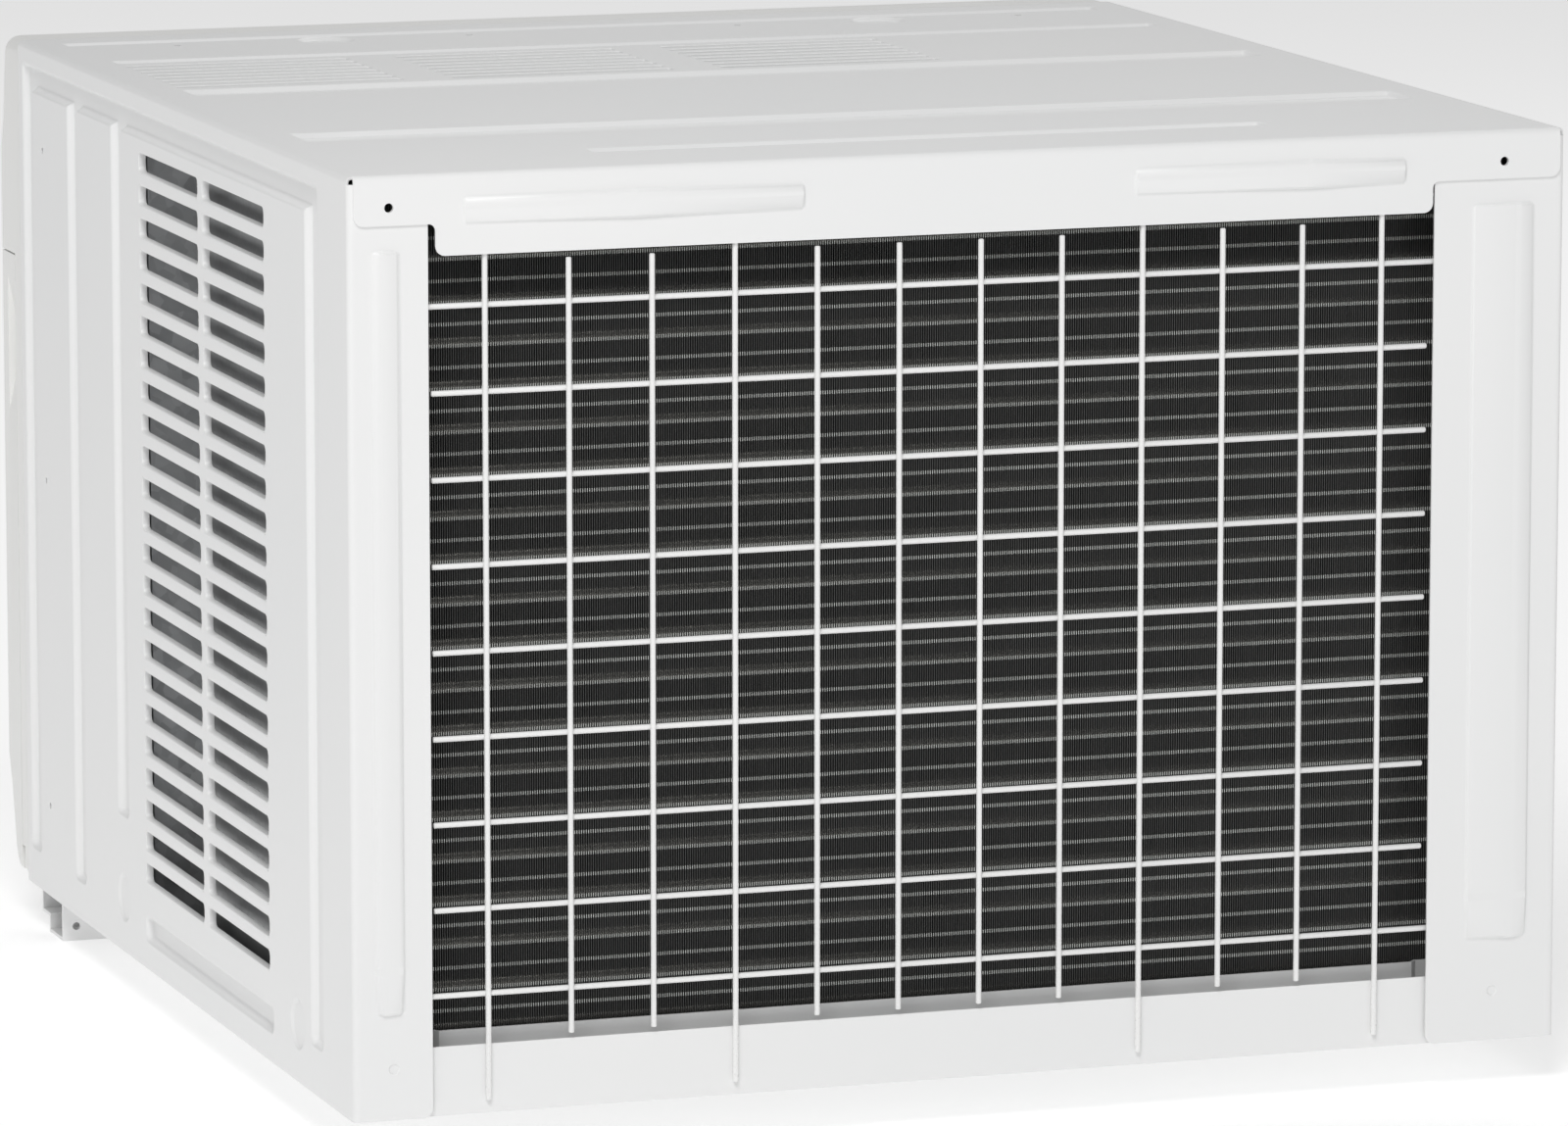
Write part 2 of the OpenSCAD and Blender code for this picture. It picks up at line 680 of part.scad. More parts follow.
// ---- compressor ----
function grommet_places() = [for (a = [45:90:315])
    [compressor_x + grommet_ring * cos(a), compressor_y + grommet_ring * sin(a) * 0.8]];
stud_r = 3;
module compressor_shell() color("dimgray") {
    dome = 34;
    difference() {
        union() {
            translate([compressor_x, compressor_y, shell_z0]) rotate_extrude() polygon([
                [0, 0], [shell_r - 12, 0], [shell_r - 3, 4], [shell_r, 12], [shell_r, shell_h - dome],
                [shell_r - 4, shell_h - dome + 13], [shell_r - 14, shell_h - dome + 24],
                [shell_r - 34, shell_h], [0, shell_h]]);
            plate_xy(feet_z, feet_z + foot_t) translate([compressor_x, compressor_y])
                round_rect(-grommet_ring * 0.707 - 12, -grommet_ring * 0.566 - 12,
                    grommet_ring * 0.707 + 12, grommet_ring * 0.566 + 12, 10);
        }
        for (p = grommet_places())
            rod_z(p[0], p[1], feet_z - eps, feet_z + foot_t + eps, 6 + running);
    }
}
module compressor_grommets() color("black") {
    for (p = grommet_places()) difference() {
        union() {
            rod_z(p[0], p[1], pan_top, feet_z, 10);
            rod_z(p[0], p[1], feet_z, feet_z + foot_t, 6);
            rod_z(p[0], p[1], feet_z + foot_t, feet_z + foot_t + 4, 9);
        }
        rod_z(p[0], p[1], pan_top - eps, feet_z + foot_t + 5, stud_r + 1);
    }
}
module compressor_nuts() color("silver") {
    for (p = grommet_places()) {
        z = feet_z + foot_t + 4;
        rod_z(p[0], p[1], pan_top - 0.2, z, stud_r);
        rod_z(p[0], p[1], z, z + 1.2, 8);
        translate([p[0], p[1], z + 1.2]) cylinder(r = 5.8, h = 5, $fn = 6);
        rod_z(p[0], p[1], z + 6.2, z + 10, stud_r);
    }
}
module accumulator() color("dimgray") {
    h = 150;
    translate([accumulator_x, accumulator_y, shell_z0 + 50]) rotate_extrude() polygon([
        [0, -12], [8, -10], [accumulator_r - 4, 0], [accumulator_r, 8], [accumulator_r, h - 8],
        [accumulator_r - 4, h], [8, h + 10], [0, h + 12]]);
}
module terminal_cover() color("black") {
    translate([compressor_x, compressor_y]) plate_xy(shell_top, shell_top + 26)
        round_rect(-24, -20, 24, 20, 6);
}

// ---- refrigerant pipes ----
// Tube swept along points that a smooth curve joins
function blend(a, b, c, d, t) = 0.5 * ((2 * b) + (c - a) * t + (2 * a - 5 * b + 4 * c - d) * t * t
    + (3 * b - a - 3 * c + d) * t * t * t);
function smooth_path(p, steps) = [for (i = [0:len(p) - 2]) for (s = [0:steps - 1])
    blend(p[max(i - 1, 0)], p[i], p[i + 1], p[min(i + 2, len(p) - 1)], s / steps), p[len(p) - 1]];
function unit(v) = v / norm(v);
function side_of(v) = unit(cross(v, abs(v[2]) < 0.9 ? [0, 0, 1] : [1, 0, 0]));
function carry(path, i, prev) = let(
    dir = unit(path[min(i + 1, len(path) - 1)] - path[max(i - 1, 0)]),
    flat = prev - dir * (prev * dir)) unit(flat);
function sides_along(path, i, prev) = i >= len(path) ? []
    : let(here = carry(path, i, prev)) concat([here], sides_along(path, i + 1, here));
module tube(points, r, steps = 6, sides = 10) {
    path = smooth_path(points, steps);
    first = side_of(unit(path[1] - path[0]));
    across = sides_along(path, 0, first);
    rings = [for (i = [0:len(path) - 1]) let(
            dir = unit(path[min(i + 1, len(path) - 1)] - path[max(i - 1, 0)]),
            up = cross(dir, across[i]))
        for (k = [0:sides - 1]) path[i] + r * (cos(360 * k / sides) * across[i]
            + sin(360 * k / sides) * up)];
    count = len(path);
    faces = concat([[for (k = [0:sides - 1]) sides - 1 - k]],
        [[for (k = [0:sides - 1]) (count - 1) * sides + k]],
        [for (i = [0:count - 2]) for (k = [0:sides - 1]) let(n = (k + 1) % sides)
            [i * sides + k, i * sides + n, (i + 1) * sides + n, (i + 1) * sides + k]]);
    polyhedron(rings, [for (f = faces) [for (q = [len(f) - 1:-1:0]) f[q]]]);
}
shell_top = shell_z0 + shell_h;
module discharge_pipe() color("peru") {
    x = compressor_x + 40;
    y = compressor_y + 30;
    tube([[x, y, shell_top - 10], [x, y, shell_top + 40], [x + 4, y + 30, shell_top + 70],
        [x + 6, y + 70, shell_top + 60], [x, y + 96, shell_top + 40], [x - 90, y + 100, shell_top + 30],
        [-chassis_half + 16, y + 104, shell_top + 20],
        [-chassis_half + 12, condenser_y0 - 30, shell_top + 10],
        [-chassis_half + 10, condenser_y0 - 5, shell_top + 8]], pipe_r);
}
module suction_pipe() color("peru") {
    z = shell_z0 + 50 + 150 + 12;
    tube([[accumulator_x, accumulator_y, z], [accumulator_x, accumulator_y, z + 40],
        [accumulator_x, accumulator_y - 20, z + 64], [accumulator_x, bulkhead_y - 20, z + 70]], pipe_r);
}
module liquid_line() color("peru") {
    x = -chassis_half + 10;
    z = condenser_z0 + 50;
    rod_y(x + 8, z + 20, bulkhead_y + 160, bulkhead_y + 250, 9);
    tube([[x + 8, bulkhead_y + 250, z + 20], [x + 8, bulkhead_y + 275, z + 16],
        [x + 4, condenser_y0 - 26, z + 4], [x, condenser_y0 - 5, z]], 3);
    tube([[x + 8, bulkhead_y + 160, z + 20], [x + 8, bulkhead_y + 120, z + 20],
        [x + 6, bulkhead_y + 60, z + 40], [x + 10, bulkhead_y + 30, z + 80],
        [x + 10, bulkhead_y + 8, z + 100]], 2.5);
}

// ---- bulkhead, shroud, blower ----
door_x0 = vent_x - 16;
door_x1 = vent_x + 16;
door_z0 = vent_z - 34;
door_z1 = vent_z + 30;
module bulkhead() color("gainsboro") {
    y0 = bulkhead_y - sheet;
    axis_y = y0 - 4;
    difference() {
        union() {
            block([-chassis_half + 3, y0, pan_top], [chassis_half - 3, bulkhead_y, chassis_top]);
            for (x = [door_x0 - 8, door_x1 + 4])
                block([x, axis_y - 4, door_z1 - 4], [x + 4, y0 + eps / 2, door_z1 + 4]);
        }
        rod_y(shaft_x, shaft_z, y0 - eps, bulkhead_y + eps, 30);
        block([door_x0 + 4, y0 - eps, door_z0 + 4], [door_x1 - 4, bulkhead_y + eps, door_z1 - 8]);
        rod_x(axis_y, door_z1, door_x0 - 10, door_x1 + 10, pivot_r + running);
        rod_y(accumulator_x, shell_z0 + 50 + 150 + 12 + 70, y0 - eps, bulkhead_y + eps, pipe_r + 3);
    }
}
module fan_shroud() color("gainsboro") {
    x1 = chassis_half - sheet;
    y0 = side_plate_front;
    hole_r = fan_r + shroud_gap;
    difference() {
        union() {
            block([-x1, shroud_y, pan_top], [x1, shroud_y + 1.6, chassis_top]);
            rod_y(shaft_x, shaft_z, shroud_y, fan_y1 + 4, hole_r + 1.6);
            both_sides() {
                block([x1 - 1.6, y0, pan_z + pan_wall_h + 2], [x1, condenser_y0 - 3, chassis_top]);
                block([x1 - 12, y0, pan_z + pan_wall_h + 2], [x1, y0 + 1.6, chassis_top]);
            }
        }
        rod_y(shaft_x, shaft_z, shroud_y - eps, fan_y1 + 5, hole_r);
        for (z = [[condenser_z0 + 36, condenser_z0 + 88], [shell_top - 10, shell_top + 40]])
            block([-x1 + 3, shroud_y - eps, z[0]], [-x1 + 32, shroud_y + 2, z[1]]);
    }
}
module scroll_outline(r, grow) {
    translate([shaft_x, shaft_z]) circle(r = r);
    rect(chimney_x0 - grow, shaft_z, chimney_x1 + grow, duct_z0);
}
module blower_housing() color("whitesmoke") {
    difference() {
        plate_xz(scroll_y0 + inlet_t, scroll_y1) scroll_outline(scroll_r, 0);
        plate_xz(scroll_y0, scroll_y1 - scroll_t) scroll_outline(scroll_r - scroll_t, -scroll_t);
        block([chimney_x0 + scroll_t, scroll_y0, duct_z0 - 20],
            [chimney_x1 - scroll_t, scroll_y1 - scroll_t, duct_z0 + eps]);
        rod_y(shaft_x, shaft_z, scroll_y1 - scroll_t - eps, scroll_y1 + eps, 24);
    }
}
module blower_inlet_plate() color("whitesmoke") {
    difference() {
        plate_xz(scroll_y0, scroll_y0 + inlet_t) scroll_outline(scroll_r, 0);
        rod_y(shaft_x, shaft_z, scroll_y0 - eps, scroll_y0 + inlet_t + eps, inlet_r);
    }
}
module air_duct() color("whitesmoke") {
    x0 = outlet_x0 - duct_wall;
    x1 = outlet_x1 + duct_wall;
    y0 = front_y + 1.5;
    y1 = scroll_y1;
    difference() {
        block([x0, y0, duct_z0], [x1, y1, duct_z1]);
        block([x0 + duct_wall, y0 - eps, duct_z0 + duct_wall], [x1 - duct_wall, y1 - duct_wall, duct_z1 - duct_wall]);
        block([chimney_x0 + scroll_t, scroll_y0 + inlet_t, duct_z0 - eps],
            [chimney_x1 - scroll_t, scroll_y1 - scroll_t - duct_wall, duct_z0 + duct_wall + eps]);
    }
}

// ---- motor and fan set ----
module motor_body() color("dimgray") {
    difference() {
        union() {
            rod_y(shaft_x, shaft_z, motor_y0 + 8, motor_y1 - 8, motor_r);
            rod_y(shaft_x, shaft_z, motor_y0, motor_y1, motor_r - 8);
            rod_y(shaft_x, shaft_z, motor_y0 - boss_l, motor_y1 + boss_l, boss_r);
        }
        rod_y(shaft_x, shaft_z, motor_y0 - boss_l - eps, motor_y1 + boss_l + eps, shaft_r + 4);
        for (p = motor_bolt_places())
            rod_y(p[0], p[1], motor_y0 - eps, motor_y0 + 20, screw_r + 0.5);
    }
}
function motor_bolt_places() = [for (a = [45:90:315])
    [shaft_x + motor_bolt_ring * cos(a), shaft_z + motor_bolt_ring * sin(a)]];
module motor_bushes() color("peru") {
    for (y = [motor_y0 - boss_l, motor_y1 + boss_l - bush_l]) difference() {
        rod_y(shaft_x, shaft_z, y, y + bush_l, shaft_r + 4);
        rod_y(shaft_x, shaft_z, y - eps, y + bush_l + eps, shaft_r + running);
    }
}
module motor_bracket() color("silver") {
    y0 = motor_y0 - bracket_t;
    w = motor_r - 6;
    difference() {
        union() {
            plate_xz(y0, motor_y0) round_rect(shaft_x - w, pan_top, shaft_x + w, shaft_z + w, 12);
            block([shaft_x - w, y0, pan_top], [shaft_x + w, motor_y0, pan_top + 20]);
            block([shaft_x - w, y0, pan_top], [shaft_x + w, motor_y0 + 50, pan_top + bracket_t]);
        }
        rod_y(shaft_x, shaft_z, y0 - eps, motor_y0 + eps, boss_r + 0.5);
        for (p = motor_bolt_places())
            rod_y(p[0], p[1], y0 - eps, motor_y0 + eps, screw_r + 0.7);
    }
}
module motor_bolts() color("silver") {
    y0 = motor_y0 - bracket_t;
    for (p = motor_bolt_places()) {
        rod_y(p[0], p[1], y0, motor_y0 + 16, screw_r + 0.4);
        translate([p[0], y0, p[1]]) rotate([90, 0, 0]) cylinder(r = 5, h = 4, $fn = 6);
    }
}
module fan_shaft() color("silver")
    rod_y(shaft_x, shaft_z, scroll_y0 + 14, fan_y1 + 2, shaft_r);
module outdoor_fan() color("dimgray") {
    mid = (fan_y0 + fan_y1) / 2;
    difference() {
        union() {
            rod_y(shaft_x, shaft_z, fan_y0, fan_y1, 42);
            intersection() {
                rod_y(shaft_x, shaft_z, fan_y0, fan_y1, fan_r - 1);
                for (k = [0:fan_blades - 1])
                    translate([shaft_x, mid, shaft_z]) rotate([0, k * 360 / fan_blades, 0])
                        rotate([0, 0, 24]) translate([-52, -1.25, 0]) cube([104, 2.5, fan_r + 10]);
            }
            difference() {
                rod_y(shaft_x, shaft_z, mid - 4, mid + 12, fan_r);
                rod_y(shaft_x, shaft_z, mid - 5, mid + 13, fan_r - 3);
            }
        }
        rod_y(shaft_x, shaft_z, fan_y0 - eps, fan_y1 + eps, shaft_r);
    }
}
wheel_y0 = scroll_y0 + inlet_t + 6;
wheel_y1 = wheel_y0 + wheel_t;
module blower_wheel() color("dimgray") {
    vane_depth = 18;
    ring_t = 2;
    translate([shaft_x, 0, shaft_z]) {
        plate_xz(wheel_y0, wheel_y1) for (k = [0:wheel_vanes - 1])
            rotate(k * 360 / wheel_vanes) translate([wheel_r - vane_depth / 2 - 1, 0]) rotate(38)
                square([vane_depth, 1.4], center = true);
        for (y = [wheel_y0, wheel_y1 - ring_t]) plate_xz(y, y + ring_t) difference() {
            circle(r = wheel_r);
            circle(r = y == wheel_y0 ? wheel_r - 16 : shaft_r);
        }
        plate_xz(wheel_y1 - 34, wheel_y1 - 1) difference() {
            circle(r = hub_r);
            circle(r = shaft_r);
        }
    }
}

// ---- controls inside ----
module control_box() color("silver") {
    t = 1.5;
    difference() {
        block([box_x0, box_y0, box_z0], [box_x1, box_y1, box_z1]);
        block([box_x0 + t, box_y0 - eps, box_z0 + t], [box_x1 - t, box_y1 - t, box_z1 - t]);
    }
}
board_y = box_y0 + 6;
module circuit_board() color("darkgreen") {
    block([box_x0 + 8, board_y, box_z0 + 110], [box_x1 - 8, board_y + 1.6, box_z1 - 8]);
    for (p = [[20, 130, 24, 18], [56, 128, 14, 30], [22, 175, 30, 26], [70, 190, 20, 16]])
        block([box_x0 + p[0], board_y + 1.6, box_z0 + p[1]],
            [box_x0 + p[0] + p[2], board_y + 18, box_z0 + p[1] + p[3]]);
}
module run_capacitor() color("lightgray")
    rod_z((box_x0 + box_x1) / 2, box_y0 + 50, box_z0 + 1.5, box_z0 + 98, 24);

// ---- bezel ----
// The bezel's outer form, moved inwards by less
module bezel_form(less, low, high) {
    intersection() {
        plate_xz(nose_y - eps, bezel_rear)
            round_rect(-half_w + less, base_z, half_w - less, top_z - less, bezel_r);
        plate_yz(-half_w, half_w) polygon(concat([[bezel_rear + eps, top_z], [bezel_rear + eps, base_z]],
            [for (p = reaches) [front_y - p[0] + less, z_at(p[1])]]));
        translate([0, nose_y + arc_r + less, low]) cylinder(r = arc_r, h = high - low, $fn = 200);
    }
}
// Reach of the front face at a height, between the named points
function face_y(h) = let(i = [for (k = [0:len(reaches) - 2])
    if (h >= reaches[k][1] && h <= reaches[k + 1][1]) k][0], a = reaches[i], b = reaches[i + 1])
    front_y - (a[0] + (b[0] - a[0]) * (h - a[1]) / (b[1] - a[1]));
function louvre_z(i) = outlet_z0 + (i + 0.5) * louvre_pitch;
function louvre_y(i) = face_y(louvre_z(i) - base_z) + louvre_chord / 2 + 1.5;
function deflector_x(i) = outlet_x0 + (i + 0.5) * deflector_pitch;
module outlet_tunnel(less) {
    rect(outlet_x0 - less, outlet_z0 - less, outlet_x1 + less, outlet_z1 + less);
}
module front_bezel() color("white") {
    difference() {
        union() {
            difference() {
                bezel_form(0, seam_z, top_z);
                bezel_form(wall, seam_z + wall, top_z - wall);
            }
            intersection() {
                bezel_form(0, seam_z, top_z);
                plate_xz(nose_y, bezel_rear) outlet_tunnel(wall);
            }
            difference() {
                plate_xz(ring_front, bezel_rear) difference() {
                    round_rect(-half_w, base_z, half_w, seam_z + 20, bezel_r);
                    round_rect(-half_w + ring_w, base_z + ring_w, half_w - ring_w, seam_z + 30, bezel_r);
                    rect(-half_w - eps, seam_z, half_w + eps, seam_z + 40);
                }
                block([-half_w - eps, ring_front - eps, base_z - eps],
                    [half_w + eps, ring_front + ring_relief, base_z + ring_w + 2]);
            }
            both_sides() {
                block([hinge_x, hinge_y - 3, hinge_z - 3.2],
                    [hinge_x + 7, bezel_rear - 1, hinge_z + 3.2]);
                rod_x(hinge_y, hinge_z, hinge_x - 13, hinge_x, hinge_pin_r);
            }
        }
        plate_xz(nose_y - eps, bezel_rear + eps) outlet_tunnel(0);
        plate_xz(nose_y - eps, ring_front)
            rect(control_x0, control_z0, control_x1, control_z1);
        for (i = [0:louvre_count - 1])
            rod_x(louvre_y(i), louvre_z(i), outlet_x0 - wall + 0.5, outlet_x1 + wall - 0.5,
                pivot_r + running);
        for (i = [0:deflector_count - 1])
            rod_z(deflector_x(i), deflector_y, outlet_z0 - wall + 0.5, outlet_z1 + wall - 0.5,
                pivot_r + running);
        rod_x(gland_y, gland_z, -half_w - eps, ring_w - half_w + eps, gland_r);
        for (x = [-150, 150]) {
            rod_y(x, bezel_screw_z, ring_front - eps, bezel_rear + eps, screw_r + screw_gap);
            rod_y(x, bezel_screw_z, ring_front - eps, bezel_screw_seat, screw_head_r + screw_gap);
        }
    }
}
gland_r = 5.2;
bezel_screw_z = pan_z + 5.4;
bezel_screw_seat = ring_front + ring_relief + screw_head_h + 0.6;
cord_r = 3.6;
gland_y = (ring_front + bezel_rear) / 2;
gland_z = z_at(60);
module cord_gland() color("black") {
    difference() {
        union() {
            rod_x(gland_y, gland_z, -half_w, ring_w - half_w, gland_r);
            rod_x(gland_y, gland_z, ring_w - half_w, ring_w - half_w + 3, gland_r + 0.6);
        }
        rod_x(gland_y, gland_z, -half_w - eps, ring_w - half_w + 4, cord_r);
    }
}
module bezel_screws() color("silver") {
    for (x = [-150, 150]) {
        rod_y(x, bezel_screw_z, bezel_screw_seat - screw_head_h, bezel_screw_seat, screw_head_r);
        rod_y(x, bezel_screw_z, bezel_screw_seat, chassis_front + sheet + 4, screw_r);
    }
}
button_gap = 0.3;
function button_x(i) = button_x0 + i * button_pitch;
module control_panel() color("white") {
    difference() {
        intersection() {
            difference() {
                bezel_form(0.8, seam_z, top_z);
                bezel_form(0.8 + wall, seam_z, top_z);
            }
            plate_xz(nose_y, ring_front) rect(control_x0 + 0.3, control_z0 + 0.3,
                control_x1 - 0.3, control_z1 - 0.3);
        }
        plate_xz(nose_y - eps, bezel_rear) {
            for (i = [0:4])
                translate([button_x(i), button_z]) circle(r = button_r + button_gap);
            round_rect(lens_x0, lens_z0, lens_x1, lens_z1, 3);
            translate([vent_x, vent_z]) circle(r = vent_rod_r + vent_gap);
        }
    }
}
module display_lens() color("black") {
    intersection() {
        difference() {
            bezel_form(0.4, seam_z, top_z);
            bezel_form(2.4, seam_z, top_z);
        }
        plate_xz(nose_y, bezel_rear) round_rect(lens_x0 + 0.1, lens_z0 + 0.1, lens_x1 - 0.1,
            lens_z1 - 0.1, 2.9);
    }
}
module button(i) color("whitesmoke") {
    x = button_x(i - 1);
    bow = arc_r - sqrt(arc_r * arc_r - x * x);
    face = max(face_y(button_z - base_z), nose_y + bow);
    rod_y(x, button_z, face - 2, face + 8, button_r);
    rod_y(x, button_z, face + 8, face + 10, button_r + 1.5);
}
module button_1() button(1);
module button_2() button(2);
module button_3() button(3);
module button_4() button(4);
module button_5() button(5);

// ---- intake panel and filter ----
module intake_panel() color("white") {
    z0 = base_z + panel_foot;
    z1 = seam_z - moulding_gap;
    rows = floor((seam_h - intake_low - 14) / intake_pitch);
    scoop_z = z_at(scoop_mid_h);
    scoop_r = (scoop_h * scoop_h / 4 + scoop * scoop) / (2 * scoop);
    scoop_y = panel_rear - 16;
    difference() {
        union() {
            difference() {
                bezel_form(0, z0, z1);
                bezel_form(wall, z0 + wall, z1 - wall);
            }
            both_sides() {
                intersection() {
                    bezel_form(0, z0, z1);
                    block([half_w - scoop - wall, scoop_y - wall, scoop_z - scoop_h / 2 - wall],
                        [half_w, bezel_rear, scoop_z + scoop_h / 2 + wall]);
                }
                intersection() {
                    bezel_form(0, z0, z1);
                    rod_x(hinge_y, hinge_z, hinge_x - 12, hinge_x - 1, 5.5);
                }
            }
            intersection() {
                bezel_form(0, z0, z1);
                for (x = [-filter_post_x, filter_post_x]) for (z = [filter_z0 + 40, filter_z1 - 40])
                    block([x - 4, nose_y, z - 8], [x + 4, filter_y0, z + 8]);
            }
        }
        block([-half_w - eps, panel_rear, base_z - eps], [half_w + eps, front_y + eps, top_z]);
        both_sides() {
            translate([half_w - scoop + scoop_r, scoop_y, scoop_z]) rotate([-90, 0, 0])
                cylinder(r = scoop_r, h = 40, $fn = 120);
            rod_x(hinge_y, hinge_z, hinge_x - 14, hinge_x - 0.5, hinge_pin_r + running);
            block([hinge_x - 1, panel_rear - 12, base_z], [hinge_x + 8, panel_rear + eps, hinge_z + 12]);
        }
        for (i = [0:rows - 1]) for (side = [-1, 1])
            plate_xz(nose_y - eps, filter_y0 - 3)
                round_rect(side > 0 ? 6 : -half_w + 30, z_at(intake_low + i * intake_pitch),
                    side > 0 ? half_w - 30 : -6, z_at(intake_low + i * intake_pitch) + intake_slot_h, 3, 3);
    }
}
filter_x = half_w - 30;
filter_z0 = hinge_z + 10;
filter_z1 = seam_z - 8;
filter_y1 = panel_rear - 1;
filter_t = 4;
filter_y0 = filter_y1 - filter_t;
filter_post_x = filter_x - 20;
filter_bar = 7;
filter_cells = 3;
filter_rows = 2;
module filter_windows(less) {
    cell_w = (2 * filter_x - filter_bar) / filter_cells;
    cell_h = (filter_z1 - filter_z0 - filter_bar) / filter_rows;
    for (i = [0:filter_cells - 1]) for (j = [0:filter_rows - 1])
        rect(-filter_x + filter_bar + i * cell_w + less, filter_z0 + filter_bar + j * cell_h + less,
            -filter_x + (i + 1) * cell_w - less, filter_z0 + (j + 1) * cell_h - less);
}
module filter_frame() color("gray") {
    difference() {
        plate_xz(filter_y0, filter_y1) rect(-filter_x, filter_z0, filter_x, filter_z1);
        plate_xz(filter_y0 - eps, filter_y1 + eps) filter_windows(0);
    }
}
module filter_mesh() color("lightgray")
    plate_xz(filter_y0 + 1.6, filter_y0 + 2.4) filter_windows(0);

// ---- louvres, deflectors, vent ----
module louvre(i) color("white") {
    y = louvre_y(i);
    z = louvre_z(i);
    end_gap = 1;
    block([outlet_x0 + end_gap, y - louvre_chord / 2, z - blade_t / 2],
        [outlet_x1 - end_gap, y + louvre_chord / 2, z + blade_t / 2]);
    rod_x(y, z, outlet_x0 + end_gap - 3, outlet_x1 - end_gap + 3, pivot_r);
}
module louvre_1() louvre(0);
module louvre_2() louvre(1);
module louvre_3() louvre(2);
module louvre_4() louvre(3);
module deflector(i) color("gainsboro") {
    x = deflector_x(i);
    end_gap = 1;
    block([x - blade_t / 2, deflector_y - deflector_chord / 2, outlet_z0 + end_gap],
        [x + blade_t / 2, deflector_y + deflector_chord / 2, outlet_z1 - end_gap]);
    rod_z(x, deflector_y, outlet_z0 + end_gap - 3, outlet_z1 - end_gap + 3, pivot_r);
}
module deflector_1() deflector(0);
module deflector_2() deflector(1);
module deflector_3() deflector(2);
module deflector_4() deflector(3);
module deflector_5() deflector(4);
module deflector_6() deflector(5);
door_y1 = bulkhead_y - sheet - 0.4;
module vent_pull() color("whitesmoke") {
    face = face_y(vent_z - base_z);
    rod_y(vent_x, vent_z, face - 12, face - 1.5, vent_knob_r);
    rod_y(vent_x, vent_z, face - 1.5, door_y1 - 4, vent_rod_r);
}
module vent_door() color("gainsboro") {
    axis_y = bulkhead_y - sheet - 4;
    block([door_x0, door_y1 - 1.5, door_z0], [door_x1, door_y1, door_z1 - 3]);
    rod_x(axis_y, door_z1, door_x0 - 8, door_x1 + 8, pivot_r);
    difference() {
        rod_x(axis_y, door_z1, door_x0, door_x1, 3.2);
        block([door_x0 - eps, door_y1, door_z1 - 5], [door_x1 + eps, door_y1 + 3, door_z1 + 5]);
    }
    block([door_x0, door_y1 - 1.5, door_z1 - 4], [door_x1, door_y1, door_z1]);
}

cabinet_shell();
case_bottom();
rear_grille();
sill_rail();
rail_screws();
base_pan();
condenser_fins();
condenser_bends();
condenser_end_plates();
evaporator_fins();
evaporator_bends();
evaporator_end_plates();
compressor_shell();
accumulator();
compressor_grommets();
compressor_nuts();
terminal_cover();
discharge_pipe();
suction_pipe();
liquid_line();
bulkhead();
fan_shroud();
blower_housing();
blower_inlet_plate();
motor_body();
motor_bushes();
motor_bracket();
motor_bolts();
control_box();
circuit_board();
run_capacitor();
front_bezel();
control_panel();
display_lens();
cord_gland();
air_duct();
bezel_screws();
intake_panel();
filter_frame();
filter_mesh();
fan_shaft();
outdoor_fan();
blower_wheel();
louvre_1();
louvre_2();
louvre_3();
louvre_4();
deflector_1();
deflector_2();
deflector_3();
deflector_4();
deflector_5();
deflector_6();
button_1();
button_2();
button_3();
button_4();
button_5();
vent_pull();
vent_door();
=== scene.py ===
import json
from math import cos, hypot, pi, radians, sin

import bmesh
import bpy
from mathutils import Matrix, Vector


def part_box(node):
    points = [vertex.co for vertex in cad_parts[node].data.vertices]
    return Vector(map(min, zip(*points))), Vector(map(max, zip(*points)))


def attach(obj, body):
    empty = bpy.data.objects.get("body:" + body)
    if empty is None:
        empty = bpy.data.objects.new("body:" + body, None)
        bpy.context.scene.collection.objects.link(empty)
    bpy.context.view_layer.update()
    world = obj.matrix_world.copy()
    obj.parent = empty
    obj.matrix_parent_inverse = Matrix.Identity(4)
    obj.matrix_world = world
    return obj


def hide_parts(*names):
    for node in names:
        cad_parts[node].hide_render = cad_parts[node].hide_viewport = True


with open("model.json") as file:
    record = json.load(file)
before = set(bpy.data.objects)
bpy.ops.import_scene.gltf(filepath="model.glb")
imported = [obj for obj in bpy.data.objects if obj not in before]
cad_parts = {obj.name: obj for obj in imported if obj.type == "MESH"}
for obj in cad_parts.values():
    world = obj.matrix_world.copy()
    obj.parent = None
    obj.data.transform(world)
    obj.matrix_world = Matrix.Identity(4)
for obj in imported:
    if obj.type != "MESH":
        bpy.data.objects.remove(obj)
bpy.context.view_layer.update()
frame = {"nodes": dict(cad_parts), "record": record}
mm = 0.001
nodes = frame["nodes"]
print("frame loaded:", len(nodes), "parts")


# camera and studio
studio = {
    "cameraAt": (1.6278, 4.8656, 1.0855),
    "looksAlong": (-0.31718, -0.93431, -0.16265),
    "lens": 216.9,
    "sky": 0.41, "backdrop": 1.0,
    "keyPower": 68, "keyAt": (1.35, 2.55, 3.1), "keySize": 1.4,
    "frontPower": 16, "frontAt": (-1.6, -3.0, 2.9), "frontSize": 2.2,
    "floorTone": 0.85, "floorGlow": 0.37,
}


